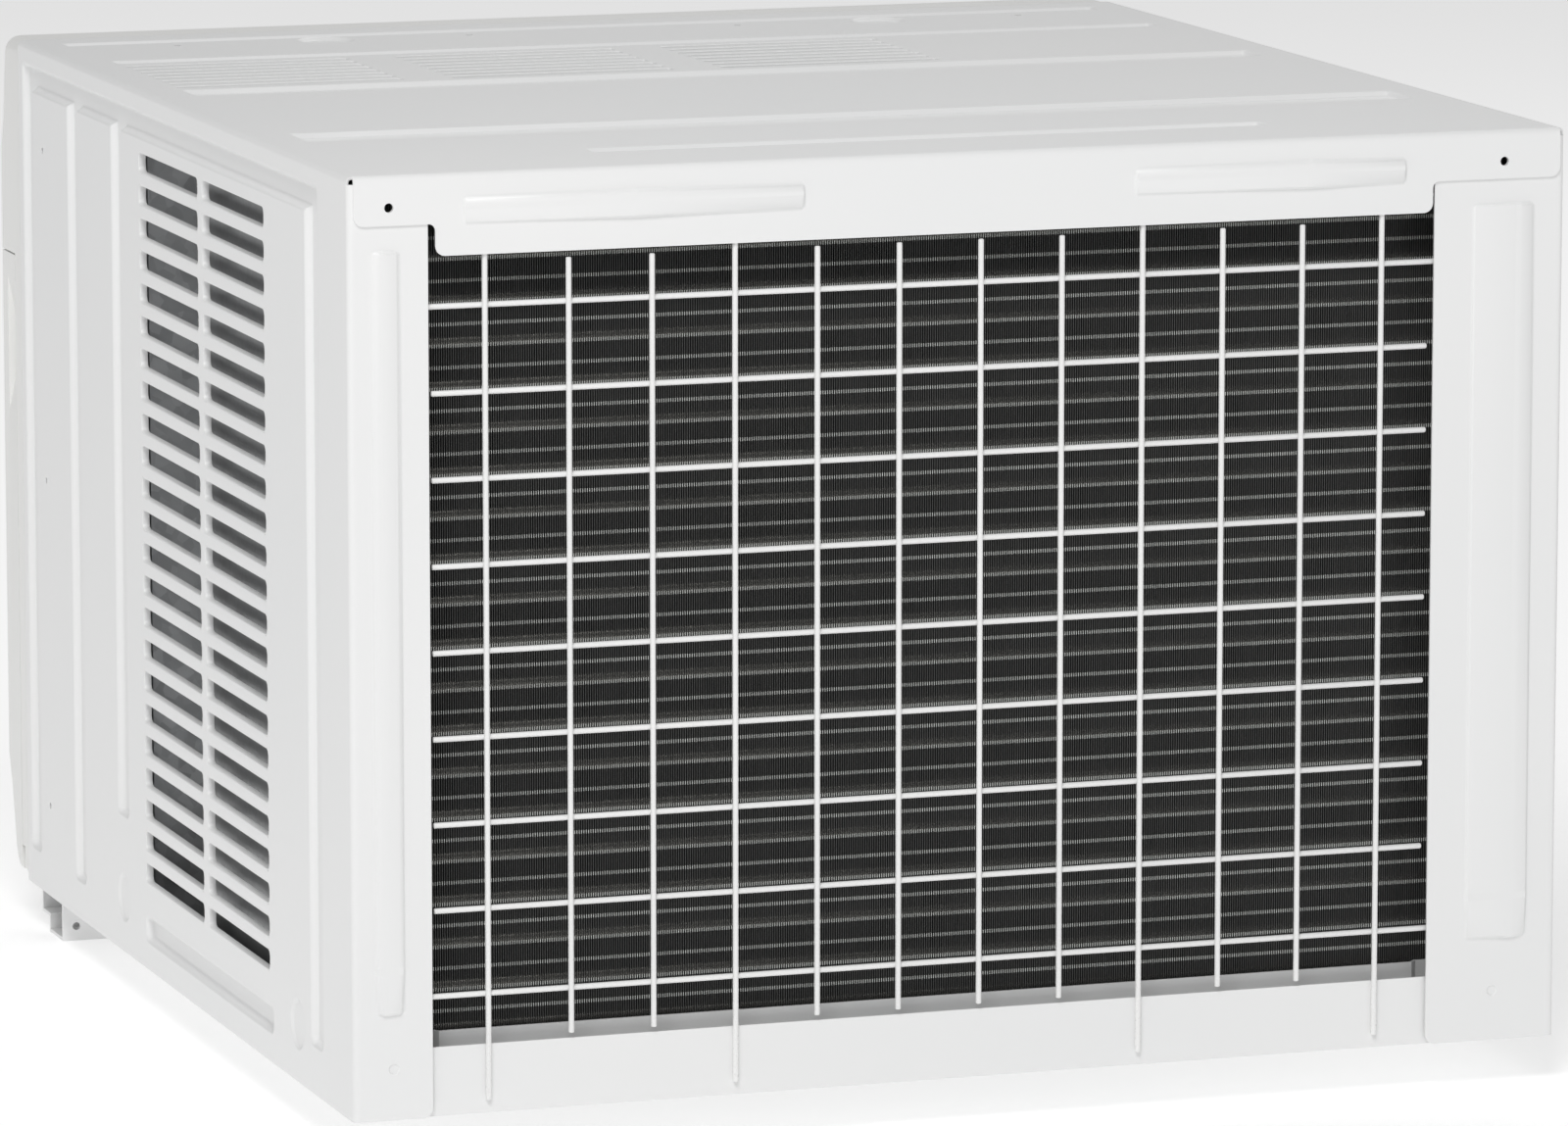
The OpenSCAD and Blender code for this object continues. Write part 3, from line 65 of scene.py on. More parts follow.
def placeCamera():
    camera = bpy.data.cameras.new("camera")
    camera.lens = studio["lens"]
    camera.sensor_width = 36
    camera.clip_start, camera.clip_end = 0.05, 60
    cameraObject = bpy.data.objects.new("camera", camera)
    bpy.context.scene.collection.objects.link(cameraObject)
    cameraObject.location = studio["cameraAt"]
    cameraObject.rotation_euler = Vector(studio["looksAlong"]).to_track_quat("-Z", "Y").to_euler()
    bpy.context.scene.camera = cameraObject


def softLight(name, power, at, size):
    light = bpy.data.lights.new(name, "AREA")
    light.energy, light.size = power, size
    lightObject = bpy.data.objects.new(name, light)
    bpy.context.scene.collection.objects.link(lightObject)
    lightObject.location = at
    lightObject.rotation_euler = (Vector((0, 0, 0.25)) - Vector(at)).to_track_quat("-Z", "Y").to_euler()


placeCamera()
softLight("keyLight", studio["keyPower"], studio["keyAt"], studio["keySize"])
softLight("frontLight", studio["frontPower"], studio["frontAt"], studio["frontSize"])
world = bpy.data.worlds.new("studio")
world.use_nodes = True
sky = world.node_tree.nodes["Background"]
seen = world.node_tree.nodes.new("ShaderNodeBackground")
sky.inputs["Color"].default_value = seen.inputs["Color"].default_value = (1, 1, 1, 1)
sky.inputs["Strength"].default_value = studio["sky"]
seen.inputs["Strength"].default_value = studio["backdrop"]
path = world.node_tree.nodes.new("ShaderNodeLightPath")
either = world.node_tree.nodes.new("ShaderNodeMixShader")
world.node_tree.links.new(path.outputs["Is Camera Ray"], either.inputs["Fac"])
world.node_tree.links.new(sky.outputs["Background"], either.inputs[1])
world.node_tree.links.new(seen.outputs["Background"], either.inputs[2])
world.node_tree.links.new(either.outputs["Shader"], world.node_tree.nodes["World Output"].inputs["Surface"])
bpy.context.scene.world = world
bpy.context.scene.view_settings.view_transform = "Standard"


# materials
def newMaterial(name):
    material = bpy.data.materials.new(name)
    material.use_nodes = True
    tree = material.node_tree
    shader = tree.nodes["Principled BSDF"]
    place = tree.nodes.new("ShaderNodeTexCoord")
    return material, tree, shader, place.outputs["Object"]


def noiseOf(tree, vector, scale, detail=3.0, stretch=(1, 1, 1)):
    mapping = tree.nodes.new("ShaderNodeMapping")
    mapping.inputs["Scale"].default_value = stretch
    noise = tree.nodes.new("ShaderNodeTexNoise")
    noise.inputs["Scale"].default_value = scale
    noise.inputs["Detail"].default_value = detail
    tree.links.new(vector, mapping.inputs["Vector"])
    tree.links.new(mapping.outputs["Vector"], noise.inputs["Vector"])
    return noise.outputs["Fac"]


def remap(tree, value, low, high, fromLow=0.3, fromHigh=0.7):
    node = tree.nodes.new("ShaderNodeMapRange")
    node.inputs["From Min"].default_value = fromLow
    node.inputs["From Max"].default_value = fromHigh
    node.inputs["To Min"].default_value = low
    node.inputs["To Max"].default_value = high
    tree.links.new(value, node.inputs["Value"])
    return node.outputs["Result"]


def blendColours(tree, factor, first, second):
    ramp = tree.nodes.new("ShaderNodeValToRGB")
    ramp.color_ramp.elements[0].position = 0.0
    ramp.color_ramp.elements[0].color = (*first, 1)
    ramp.color_ramp.elements[1].position = 1.0
    ramp.color_ramp.elements[1].color = (*second, 1)
    tree.links.new(factor, ramp.inputs["Fac"])
    return ramp.outputs["Color"]


def bumpOf(tree, shader, height, strength, distance):
    bump = tree.nodes.new("ShaderNodeBump")
    bump.inputs["Strength"].default_value = strength
    bump.inputs["Distance"].default_value = distance
    tree.links.new(height, bump.inputs["Height"])
    tree.links.new(bump.outputs["Normal"], shader.inputs["Normal"])


grainDepth = 0.0002


def finish(name, first, second, rough, metallic=0.0, patch=9.0, grain=900.0, peel=0.1, coat=0.0,
           stretch=(1, 1, 1)):
    material, tree, shader, vector = newMaterial(name)
    cloud = noiseOf(tree, vector, patch)
    tree.links.new(blendColours(tree, remap(tree, cloud, 0, 1), first, second), shader.inputs["Base Color"])
    fine = noiseOf(tree, vector, grain, 2.0, stretch)
    tree.links.new(remap(tree, fine, rough[0], rough[1]), shader.inputs["Roughness"])
    bumpOf(tree, shader, fine, peel, grainDepth)
    shader.inputs["Metallic"].default_value = metallic
    if coat:
        shader.inputs["Coat Weight"].default_value = coat
        shader.inputs["Coat Roughness"].default_value = 0.18
    return material


def spangled(name, first, second, rough, scale=140.0):
    material, tree, shader, vector = newMaterial(name)
    flakes = tree.nodes.new("ShaderNodeTexVoronoi")
    flakes.inputs["Scale"].default_value = scale
    tree.links.new(vector, flakes.inputs["Vector"])
    tone = tree.nodes.new("ShaderNodeSeparateColor")
    tree.links.new(flakes.outputs["Color"], tone.inputs["Color"])
    tree.links.new(blendColours(tree, tone.outputs["Red"], first, second), shader.inputs["Base Color"])
    tree.links.new(remap(tree, tone.outputs["Green"], rough[0], rough[1], 0, 1), shader.inputs["Roughness"])
    fine = noiseOf(tree, vector, 500, 2.0)
    bumpOf(tree, shader, fine, 0.15, grainDepth)
    shader.inputs["Metallic"].default_value = 0.85
    return material


def beaded(name, first, second, scale=260.0):
    material, tree, shader, vector = newMaterial(name)
    cells = tree.nodes.new("ShaderNodeTexVoronoi")
    cells.inputs["Scale"].default_value = scale
    tree.links.new(vector, cells.inputs["Vector"])
    tree.links.new(blendColours(tree, remap(tree, cells.outputs["Distance"], 0, 1, 0.1, 0.7), first, second),
                   shader.inputs["Base Color"])
    bumpOf(tree, shader, cells.outputs["Distance"], 0.35, 0.0006)
    shader.inputs["Roughness"].default_value = 0.85
    return material


# coil fins with painted light: near-black painted shade inside, lighter at the front edge as painted light,
# brightest in painted glint bands that pass the tubes
finPaintedLight = {
    "frontY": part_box("condenser_fins")[1].y, "glintPitch": 0.02209 / 2, "glintStart": 0.026,
    "glintShare": 0.085, "litRimDeep": 0.0009, "insideShadeShare": 0.4,
}


# colours: painted shade inside the coil, painted light on the fins' front rim, painted glint on that rim
# where the tubes pass
def finned(name, insideShadeColour, light, glintColour):
    material, tree, shader, vector = newMaterial(name)
    parts = tree.nodes.new("ShaderNodeSeparateXYZ")
    tree.links.new(vector, parts.inputs["Vector"])

    def calculated(operation, first, second):
        node = tree.nodes.new("ShaderNodeMath")
        node.operation = operation
        for socket, value in zip(node.inputs, (first, second)):
            if isinstance(value, float):
                socket.default_value = value
            else:
                tree.links.new(value, socket)
        return node.outputs["Value"]

    def mixed(factor, first, second):
        mix = tree.nodes.new("ShaderNodeMix")
        mix.data_type = "RGBA"
        tree.links.new(factor, mix.inputs["Factor"])
        tree.links.new(first, mix.inputs[6])
        mix.inputs[7].default_value = (*second, 1)
        return mix.outputs[2]

    # painted glint bands at half the tube pitch
    height = calculated("SUBTRACT", parts.outputs["Z"], finPaintedLight["glintStart"])
    phase = calculated("FRACT", calculated("DIVIDE", height, finPaintedLight["glintPitch"]), 0.0)
    fromMiddle = calculated("ABSOLUTE", calculated("SUBTRACT", phase, 0.5), 0.0)
    glintBand = calculated("LESS_THAN", fromMiddle, finPaintedLight["glintShare"])
    # painted light: the fins' front 0.9 mm is lighter than the painted shade behind it
    depth = calculated("SUBTRACT", finPaintedLight["frontY"], parts.outputs["Y"])
    litRim = calculated("LESS_THAN", depth, finPaintedLight["litRimDeep"])
    cloud = noiseOf(tree, vector, 1500.0, 1.0, (1, 0.02, 0.02))
    # painted shade: inside the coil the fins take a dimmed share of the lit colour, mixed with the near-black
    shadedInside = tuple(c * finPaintedLight["insideShadeShare"] for c in light)
    inner = blendColours(tree, remap(tree, cloud, 0, 1), insideShadeColour, shadedInside)
    base = mixed(litRim, inner, light)
    # painted glint where a band crosses the lit rim
    tree.links.new(mixed(calculated("MULTIPLY", glintBand, litRim), base, glintColour), shader.inputs["Base Color"])
    tree.links.new(remap(tree, cloud, 0.35, 0.55), shader.inputs["Roughness"])
    shader.inputs["Metallic"].default_value = 0.3
    return material


finishes = {
    "cabinet_paint": finish("cabinetPaint", (0.84, 0.845, 0.845), (0.86, 0.86, 0.857), (0.34, 0.42),
                            patch=3.0, grain=420.0, peel=0.05, coat=0.1),
    "wire_coat": finish("wireCoat", (0.86, 0.86, 0.855), (0.9, 0.9, 0.89), (0.25, 0.35), grain=600.0),
    "galvanised": spangled("galvanised", (0.52, 0.53, 0.54), (0.68, 0.69, 0.7), (0.3, 0.5)),
    "zinc": finish("zincPlate", (0.6, 0.6, 0.57), (0.75, 0.74, 0.68), (0.25, 0.4), metallic=0.95, patch=200),
    "fin_bright": finish("finBright", (0.62, 0.65, 0.68), (0.75, 0.77, 0.79), (0.3, 0.45), metallic=0.8),
    "copper": finish("copperTube", (0.55, 0.24, 0.12), (0.72, 0.36, 0.2), (0.25, 0.42), metallic=0.9,
                     patch=60),
    "bronze": finish("bushBronze", (0.42, 0.25, 0.1), (0.6, 0.38, 0.16), (0.3, 0.45), metallic=0.9,
                     patch=300),
    "black_paint": finish("blackPaint", (0.012, 0.012, 0.013), (0.03, 0.03, 0.03), (0.3, 0.45), patch=30,
                          coat=0.3),
    "grommet_rubber": finish("grommetRubber", (0.015, 0.015, 0.015), (0.035, 0.035, 0.035), (0.7, 0.9),
                             patch=80, peel=0.3),
    "black_plastic": finish("blackPlastic", (0.02, 0.02, 0.022), (0.035, 0.035, 0.037), (0.45, 0.6),
                            patch=40, peel=0.25),
    "white_plastic": finish("whitePlastic", (0.83, 0.83, 0.815), (0.86, 0.86, 0.845), (0.32, 0.42),
                            patch=5, grain=1300.0, peel=0.12),
    "foam_white": beaded("foamWhite", (0.84, 0.84, 0.82), (0.9, 0.9, 0.88)),
    "lens": finish("smokedLens", (0.008, 0.009, 0.01), (0.014, 0.014, 0.016), (0.06, 0.1), patch=20,
                   peel=0.02, coat=0.6),
    "board": finish("boardGreen", (0.01, 0.09, 0.035), (0.02, 0.16, 0.06), (0.3, 0.5), patch=180),
    "can": finish("canAluminium", (0.55, 0.56, 0.58), (0.7, 0.71, 0.72), (0.25, 0.4), metallic=0.9,
                  stretch=(1, 1, 0.05)),
    "filter_frame": finish("filterFrame", (0.05, 0.055, 0.065), (0.08, 0.085, 0.095), (0.5, 0.65), patch=40),
    "filter_mesh": finish("filterMesh", (0.07, 0.08, 0.09), (0.12, 0.13, 0.14), (0.7, 0.9), patch=400,
                          peel=0.6),
    "motor_paint": finish("motorPaint", (0.03, 0.03, 0.032), (0.055, 0.055, 0.058), (0.35, 0.5), patch=25),
    # outdoor coil fins: near-black painted shade inside, painted light on the front rim, painted glint bands
    "fin_dark": finned("finPaintedLightAndShade", (0.008, 0.008, 0.008), (0.13, 0.131, 0.126), (0.8, 0.81, 0.78)),
    # condenser tubes made dark grey as painted shade where they sit between the fins; the key light gives
    # them a thin highlight
    "tube_painted_shade": finish("tubePaintedShade", (0.26, 0.25, 0.23), (0.36, 0.35, 0.32), (0.22, 0.32), metallic=0.9,
                        patch=40),
    # shroud cheek sheet darkened as painted shade, where it stands in shade inside the case behind the side
    # slots
    "cheek_sheet_painted_shade": finish("cheekSheetPaintedShade", (0.24, 0.245, 0.25), (0.29, 0.295, 0.3), (0.3, 0.4), metallic=0.45,
                          patch=6, grain=300.0, peel=0.05),
    "pan_sheet": finish("panSheet", (0.74, 0.745, 0.745), (0.8, 0.8, 0.797), (0.35, 0.45), metallic=0.1,
                        patch=6, grain=300.0, peel=0.05),
    # rolled cheek edge lightened and coated as painted highlight on the same galvanised sheet that the cheek
    # darkens
    "roll_sheet_painted_highlight": finish("rollSheetPaintedHighlight", (0.74, 0.745, 0.75), (0.8, 0.805, 0.81), (0.2, 0.3), metallic=0.35,
                         patch=6, grain=300.0, peel=0.05, coat=0.4),
}
for part in frame["record"]["subparts"]:
    node = nodes[part["node"]]
    material = finishes[part["material_slot"]]
    if node.material_slots:
        for materialSlot in node.material_slots:
            materialSlot.material = material
    else:
        node.data.materials.append(material)
print("materials:", len(finishes))


# shared modelling helpers
def newPiece(name, bm, body, slotName, replaced=(), sharpAbove=35, look=None):
    for edge in bm.edges:
        edge.smooth = not (len(edge.link_faces) == 2 and edge.calc_face_angle(0) > radians(sharpAbove))
    for face in bm.faces:
        face.smooth = True
    mesh = bpy.data.meshes.new(name)
    bm.to_mesh(mesh)
    bm.free()
    piece = bpy.data.objects.new(name, mesh)
    bpy.context.scene.collection.objects.link(piece)
    piece.data.materials.append(finishes[look or slotName])
    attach(piece, body)
    if replaced:
        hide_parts(*replaced)
    return piece


def roundedPrism(bm, x0, y0, x1, y1, radius, z0, z1, segments=3):
    corners = [bm.verts.new(p) for p in ((x0, y0, z0), (x1, y0, z0), (x1, y1, z0), (x0, y1, z0))]
    base = bm.faces.new(corners)
    if radius:
        made = bmesh.ops.bevel(bm, geom=corners, offset=radius, offset_type="OFFSET", segments=segments,
                               profile=0.5, affect="VERTICES", material=-1)
        base = max((f for f in {f for v in made["verts"] for f in v.link_faces}), key=lambda f: f.calc_area())
    raised = bmesh.ops.extrude_face_region(bm, geom=[base])
    moved = [g for g in raised["geom"] if isinstance(g, bmesh.types.BMVert)]
    bmesh.ops.translate(bm, verts=moved, vec=(0, 0, z1 - z0))


def roundCut(bm, x, y, radius, z0, z1, segments=24):
    turn = Matrix.Translation((x, y, (z0 + z1) / 2))
    bmesh.ops.create_cone(bm, cap_ends=True, segments=segments, radius1=radius, radius2=radius,
                          depth=z1 - z0, matrix=turn)


def objectFrom(bm, name):
    bmesh.ops.recalc_face_normals(bm, faces=bm.faces)
    mesh = bpy.data.meshes.new(name)
    bm.to_mesh(mesh)
    bm.free()
    made = bpy.data.objects.new(name, mesh)
    bpy.context.scene.collection.objects.link(made)
    return made


def combine(base, cutter, operation):
    modifier = base.modifiers.new("combine", "BOOLEAN")
    modifier.operation, modifier.object, modifier.solver = operation, cutter, "MANIFOLD"
    graph = bpy.context.evaluated_depsgraph_get()
    result = bpy.data.meshes.new_from_object(base.evaluated_get(graph))
    base.modifiers.clear()
    old, base.data = base.data, result
    bpy.data.meshes.remove(old)
    oldCutter = cutter.data
    bpy.data.objects.remove(cutter)
    bpy.data.meshes.remove(oldCutter)


# cabinet sheet: pressed flat, then folded
sheet = {
    "half": 330.0, "sill": 26.0, "top": 509.0, "front": -303.5, "depth": 669.0, "wall": 1.2, "bend": 3.0,
    "lap": 1.2, "flangePlus": 42.0, "flangeMinus": 73.0, "lapDrop": 25.2, "deepDrop": 41.5,
    "deepPlus": 284.4, "deepMinus": -255.5, "cornerR": 5.0,
    "deepR": 3.5, "relief": 1.6, "lapEase": 30, "bendSteps": 5, "bendMargin": 0.6,
    "legs": ((637, 660, 21), (536.5, 560.5, 21), (441.5, 465.5, 76), (56, 80, 25)), "legR": 5,
    "crown": (56, 660, 457, 472), "crownR": 7, "foot": (150, 408, 15, 30),
    "ribs": ((18.8, 637.4, 629, 643.5), (22.6, 637.4, 533, 548), (22.6, 637.4, 370, 398.5),
             (22.6, 637.4, 150, 187.5), (148.4, 518, 61, 77.3)), "ribR": 3,
    "lapPads": ((59.7, 241.4), (419.5, 570.6)), "lapPadOut": (8.3, 23.5), "padR": 5,
    "flangePads": (54.2, 445.3), "plusPadOut": (8.7, 24.7), "minusPadOut": (13.5, 49),
    "slotColumns": (156, 285), "slotLong": 122, "slotHigh": 12.6, "slotPitch": 17.74, "slotTop": 450.3,
    "slotRows": 23, "slotR": 4,
    "sideLip": (4.0, 1.1), "topLip": (2.2, 0.9), "lipSoft": 0.7,
    "banks": 3, "bankPitch": 154.7, "bankIn": 23, "topSlotLong": 128.5, "topSlotWide": 9,
    "topSlotPitch": 15.1, "topSlotStart": 408, "topSlotRows": 8, "topSlotR": 3,
    "sideHoles": (52.6, 239.2, 426.3), "sideHoleDepth": 616, "sideHoleR": 1.8,
    "topHoles": (-251.4, -80.2, 80.2, 251.4), "topHoleDepth": 614, "topHoleR": 2.0,
    "lapHoles": (308.6, -295.6), "lapHoleOut": 13.2, "flangeHole": 466.8, "plusHoleOut": 18.4,
    "minusHoleOut": 31.4, "rearHoleR": 2.4, "cutReach": 9, "outlineReach": 8,
    "sideDishes": (454, 104.5), "sideDishUp": 30.5, "sideDishR": 14.0, "topDishes": (-165, 165),
    "topDishR": 16.5, "dishDeep": 1.6, "seatUp": 26.5, "plusSeatOut": 18.5, "minusSeatOut": 32.6,
    "seatR": 2.95, "seatDeep": 0.7, "dishSides": 40,
}
sideLong = sheet["top"] - sheet["sill"] - sheet["bend"]
arcLong = pi * sheet["bend"] / 2
topLong = 2 * (sheet["half"] - sheet["bend"])
topStart = sideLong + arcLong
farStart = topStart + topLong + arcLong
netLong = farStart + sideLong
straight = sheet["depth"] - sheet["bend"]
flangeStart = straight + arcLong
endGap, leastGap = 0.3, 0.25


def alongTop(x):
    return topStart + sheet["half"] - sheet["bend"] - x


def alongY(depth):
    return sheet["depth"] - depth


# kinds of pressing: rise, width of the slope round it, and the net lines that follow the slope
pressKinds = {
    "side": {"rise": -4.0, "slope": 3.0, "lines": (-0.6, 0, 0.75, 1.5, 2.25, 3, 3.6)},
    "top": {"rise": -2.6, "slope": 2.0, "lines": (-0.5, 0, 0.67, 1.33, 2, 2.5)},
    "pad": {"rise": 2.0, "slope": 1.5, "lines": (-0.45, 0, 0.5, 1, 1.5, 1.95)},
}


# pressings on the flat net: kind, two ends one way, two the other way, corner radius
def netPressings():
    made = []
    crownNear, crownFar, crownFoot, crownHead = sheet["crown"]
    footNear, footFar, footLow, footHigh = sheet["foot"]
    for fold in (1, -1):
        up = (lambda z: z) if fold == 1 else (lambda z: netLong - z)
        for near, far, foot in sheet["legs"]:
            made.append(("side", up(foot), up(crownHead), alongY(far), alongY(near), sheet["legR"]))
        made.append(("side", up(crownFoot), up(crownHead), alongY(crownFar), alongY(crownNear),
                     sheet["crownR"]))
        made.append(("side", up(footLow), up(footHigh), alongY(footFar), alongY(footNear), sheet["legR"]))
    half = sheet["half"]
    for u0, u1, near, far in sheet["ribs"]:
        made.append(("top", alongTop(half - u0), alongTop(half - u1), alongY(far), alongY(near),
                     sheet["ribR"]))
    lapNear, lapFar = (flangeStart + out for out in sheet["lapPadOut"])
    for u0, u1 in sheet["lapPads"]:
        made.append(("pad", alongTop(half - u0), alongTop(half - u1), lapNear, lapFar, sheet["padR"]))
    padLow, padHigh = sheet["flangePads"]
    plusNear, plusFar = (flangeStart + out for out in sheet["plusPadOut"])
    minusNear, minusFar = (flangeStart + out for out in sheet["minusPadOut"])
    made.append(("pad", padLow, padHigh, plusNear, plusFar, sheet["padR"]))
    made.append(("pad", netLong - padHigh, netLong - padLow, minusNear, minusFar, sheet["padR"]))
    return made


pressings = netPressings()


def netLines(axis):
    lines = set()
    steps, margin = sheet["bendSteps"], sheet["bendMargin"]
    for kind, s0, s1, t0, t1, _ in pressings:
        low, high = sorted((s0, s1)) if axis == 0 else sorted((t0, t1))
        for offset in pressKinds[kind]["lines"]:
            lines.update((round(low + offset, 2), round(high - offset, 2)))
    if axis == 0:
        for start in (sideLong, farStart - arcLong):
            lines.update(round(start + arcLong * k / steps, 3) for k in range(steps + 1))
            lines.update((round(start - margin, 3), round(start + arcLong + margin, 3)))
        limit = netLong
    else:
        lines.update(round(straight + arcLong * k / steps, 3) for k in range(steps + 1))
        lines.update((round(straight - margin, 3), round(flangeStart + margin, 3)))
        lines.add(round(straight - sheet["lapEase"], 3))
        limit = flangeStart + sheet["flangeMinus"]
    kept = []
    for line in sorted(lines):
        if endGap < line < limit - endGap and (not kept or line - kept[-1] > leastGap):
            kept.append(line)
    return kept


def pressedHeight(s, t):
    best = 0.0
    for kind, s0, s1, t0, t1, radius in pressings:
        low, high = min(s0, s1), max(s0, s1)
        if low - 1 < s < high + 1 and t0 - 1 < t < t1 + 1:
            qs = abs(s - (low + high) / 2) - (high - low) / 2 + radius
            qt = abs(t - (t0 + t1) / 2) - (t1 - t0) / 2 + radius
            inside = radius - hypot(max(qs, 0), max(qt, 0)) - min(max(qs, qt), 0)
            part = min(max(inside / pressKinds[kind]["slope"], 0), 1)
            height = pressKinds[kind]["rise"] * part * part * (3 - 2 * part)
            if abs(height) > abs(best):
                best = height
    return best


def foldPoint(point):
    s, t, height = point
    bend, half, top = sheet["bend"], sheet["half"], sheet["top"]
    if s <= sideLong:
        x, z, nx, nz = half, sheet["sill"] + s, 1.0, 0.0
    elif s <= topStart:
        angle = (s - sideLong) / bend
        nx, nz = cos(angle), sin(angle)
        x, z = half - bend + bend * nx, top - bend + bend * nz
    elif s <= farStart - arcLong:
        x, z, nx, nz = half - bend - (s - topStart), top, 0.0, 1.0
    elif s <= farStart:
        angle = pi / 2 + (s - farStart + arcLong) / bend
        nx, nz = cos(angle), sin(angle)
        x, z = -half + bend + bend * nx, top - bend + bend * nz
    else:
        x, z, nx, nz = -half, top - bend - (s - farStart), -1.0, 0.0
    back = sheet["lap"] * abs(nx)
    ease = sheet["lapEase"]
    if t <= straight:
        out, y = height, t - back * min(max((t - straight + ease) / ease, 0), 1)
    elif t <= flangeStart:
        angle = (t - straight) / bend
        out, y = (bend + height) * cos(angle) - bend, straight - back + (bend + height) * sin(angle)
    else:
        out, y = -bend - (t - flangeStart), straight - back + bend + height
    return Vector((x + nx * out, sheet["front"] + y, z + nz * out)) * mm


def pressedSlab():
    bm = bmesh.new()
    far = flangeStart + sheet["flangeMinus"]
    whole = Matrix.Translation((netLong / 2, far / 2, 0)) @ Matrix.Diagonal((netLong, far, 1, 1))
    bmesh.ops.create_grid(bm, x_segments=1, y_segments=1, size=0.5, matrix=whole)
    for axis, across in ((0, Vector((1, 0, 0))), (1, Vector((0, 1, 0)))):
        for line in netLines(axis):
            bmesh.ops.bisect_plane(bm, geom=bm.verts[:] + bm.edges[:] + bm.faces[:],
                                   plane_co=across * line, plane_no=across)
    for vert in bm.verts:
        vert.co.z = pressedHeight(vert.co.x, vert.co.y)
    lower = bmesh.ops.extrude_face_region(bm, geom=bm.faces[:])
    moved = [g for g in lower["geom"] if isinstance(g, bmesh.types.BMVert)]
    bmesh.ops.translate(bm, verts=moved, vec=(0, 0, -sheet["wall"]))
    return objectFrom(bm, "pressedSlab")


def netOutline():
    bm = bmesh.new()
    plusEnd = flangeStart + sheet["flangePlus"] - sheet["bend"]
    minusEnd = flangeStart + sheet["flangeMinus"] - sheet["bend"]
    lapEnd = flangeStart + sheet["lapDrop"] - sheet["bend"]
    deepEnd = flangeStart + sheet["deepDrop"] - sheet["bend"]
    deepPlus, deepMinus = alongTop(sheet["deepPlus"]), alongTop(sheet["deepMinus"])
    relief = straight + sheet["relief"]
    rounded, tight, reach = sheet["cornerR"], sheet["deepR"], sheet["outlineReach"]
    points = (
        (-2, -2, 0), (netLong + 2, -2, 0), (netLong, minusEnd, rounded), (farStart + 1, minusEnd, 0),
        (farStart + 1, relief, 0), (farStart - arcLong, relief, 0), (farStart - arcLong, lapEnd, rounded),
        (deepMinus, lapEnd, tight), (deepMinus, deepEnd, rounded), (deepPlus, deepEnd, rounded),
        (deepPlus, lapEnd, tight), (topStart, lapEnd, rounded), (topStart, relief, 0),
        (sideLong - 1, relief, 0), (sideLong - 1, plusEnd, 0), (0, plusEnd, rounded))
    verts = [bm.verts.new((s, t, -reach)) for s, t, _ in points]
    bm.faces.new(verts)
    for vert, (_, _, radius) in zip(verts, points):
        if radius:
            bmesh.ops.bevel(bm, geom=[vert], offset=radius, offset_type="OFFSET", segments=5, profile=0.5,
                            affect="VERTICES", material=-1)
    raised = bmesh.ops.extrude_face_region(bm, geom=bm.faces[:])
    moved = [g for g in raised["geom"] if isinstance(g, bmesh.types.BMVert)]
    bmesh.ops.translate(bm, verts=moved, vec=(0, 0, 2 * reach))
    return objectFrom(bm, "netOutline")


def sideSlotPlaces():
    for fold in (1, -1):
        for column in sheet["slotColumns"]:
            t1 = alongY(column)
            for row in range(sheet["slotRows"]):
                z1 = sheet["slotTop"] - row * sheet["slotPitch"]
                s = z1 - sheet["slotHigh"] / 2 if fold == 1 else netLong - z1 + sheet["slotHigh"] / 2
                yield s, t1 - sheet["slotLong"] / 2


def topSlotPlaces():
    for bank in range(sheet["banks"]):
        x = sheet["half"] - sheet["bankIn"] - bank * sheet["bankPitch"] - sheet["topSlotLong"] / 2
        for row in range(sheet["topSlotRows"]):
            depth = sheet["topSlotStart"] + row * sheet["topSlotPitch"]
            yield alongTop(x), alongY(depth) - sheet["topSlotWide"] / 2


# round holes: place on the net and radius
roundHoles = [(up, alongY(sheet["sideHoleDepth"]), sheet["sideHoleR"])
              for z in sheet["sideHoles"] for up in (z, netLong - z)]
roundHoles += [(alongTop(x), alongY(sheet["topHoleDepth"]), sheet["topHoleR"]) for x in sheet["topHoles"]]
roundHoles += [(alongTop(x), flangeStart + sheet["lapHoleOut"], sheet["rearHoleR"])
               for x in sheet["lapHoles"]]
roundHoles += [(sheet["flangeHole"], flangeStart + sheet["plusHoleOut"], sheet["rearHoleR"]),
               (netLong - sheet["flangeHole"], flangeStart + sheet["minusHoleOut"], sheet["rearHoleR"])]
# dished seats: place on the net, radius and depth
dishes = [(up, alongY(depth), sheet["sideDishR"], sheet["dishDeep"])
          for depth in sheet["sideDishes"] for up in (sheet["sideDishUp"], netLong - sheet["sideDishUp"])]
dishes += [(alongTop(x), alongY(sheet["topHoleDepth"]), sheet["topDishR"], sheet["dishDeep"])
           for x in sheet["topDishes"]]
dishes += [(s, flangeStart + out, sheet["seatR"], sheet["seatDeep"])
           for s, out in ((sheet["seatUp"], sheet["plusSeatOut"]),
                          (netLong - sheet["seatUp"], sheet["minusSeatOut"]))]


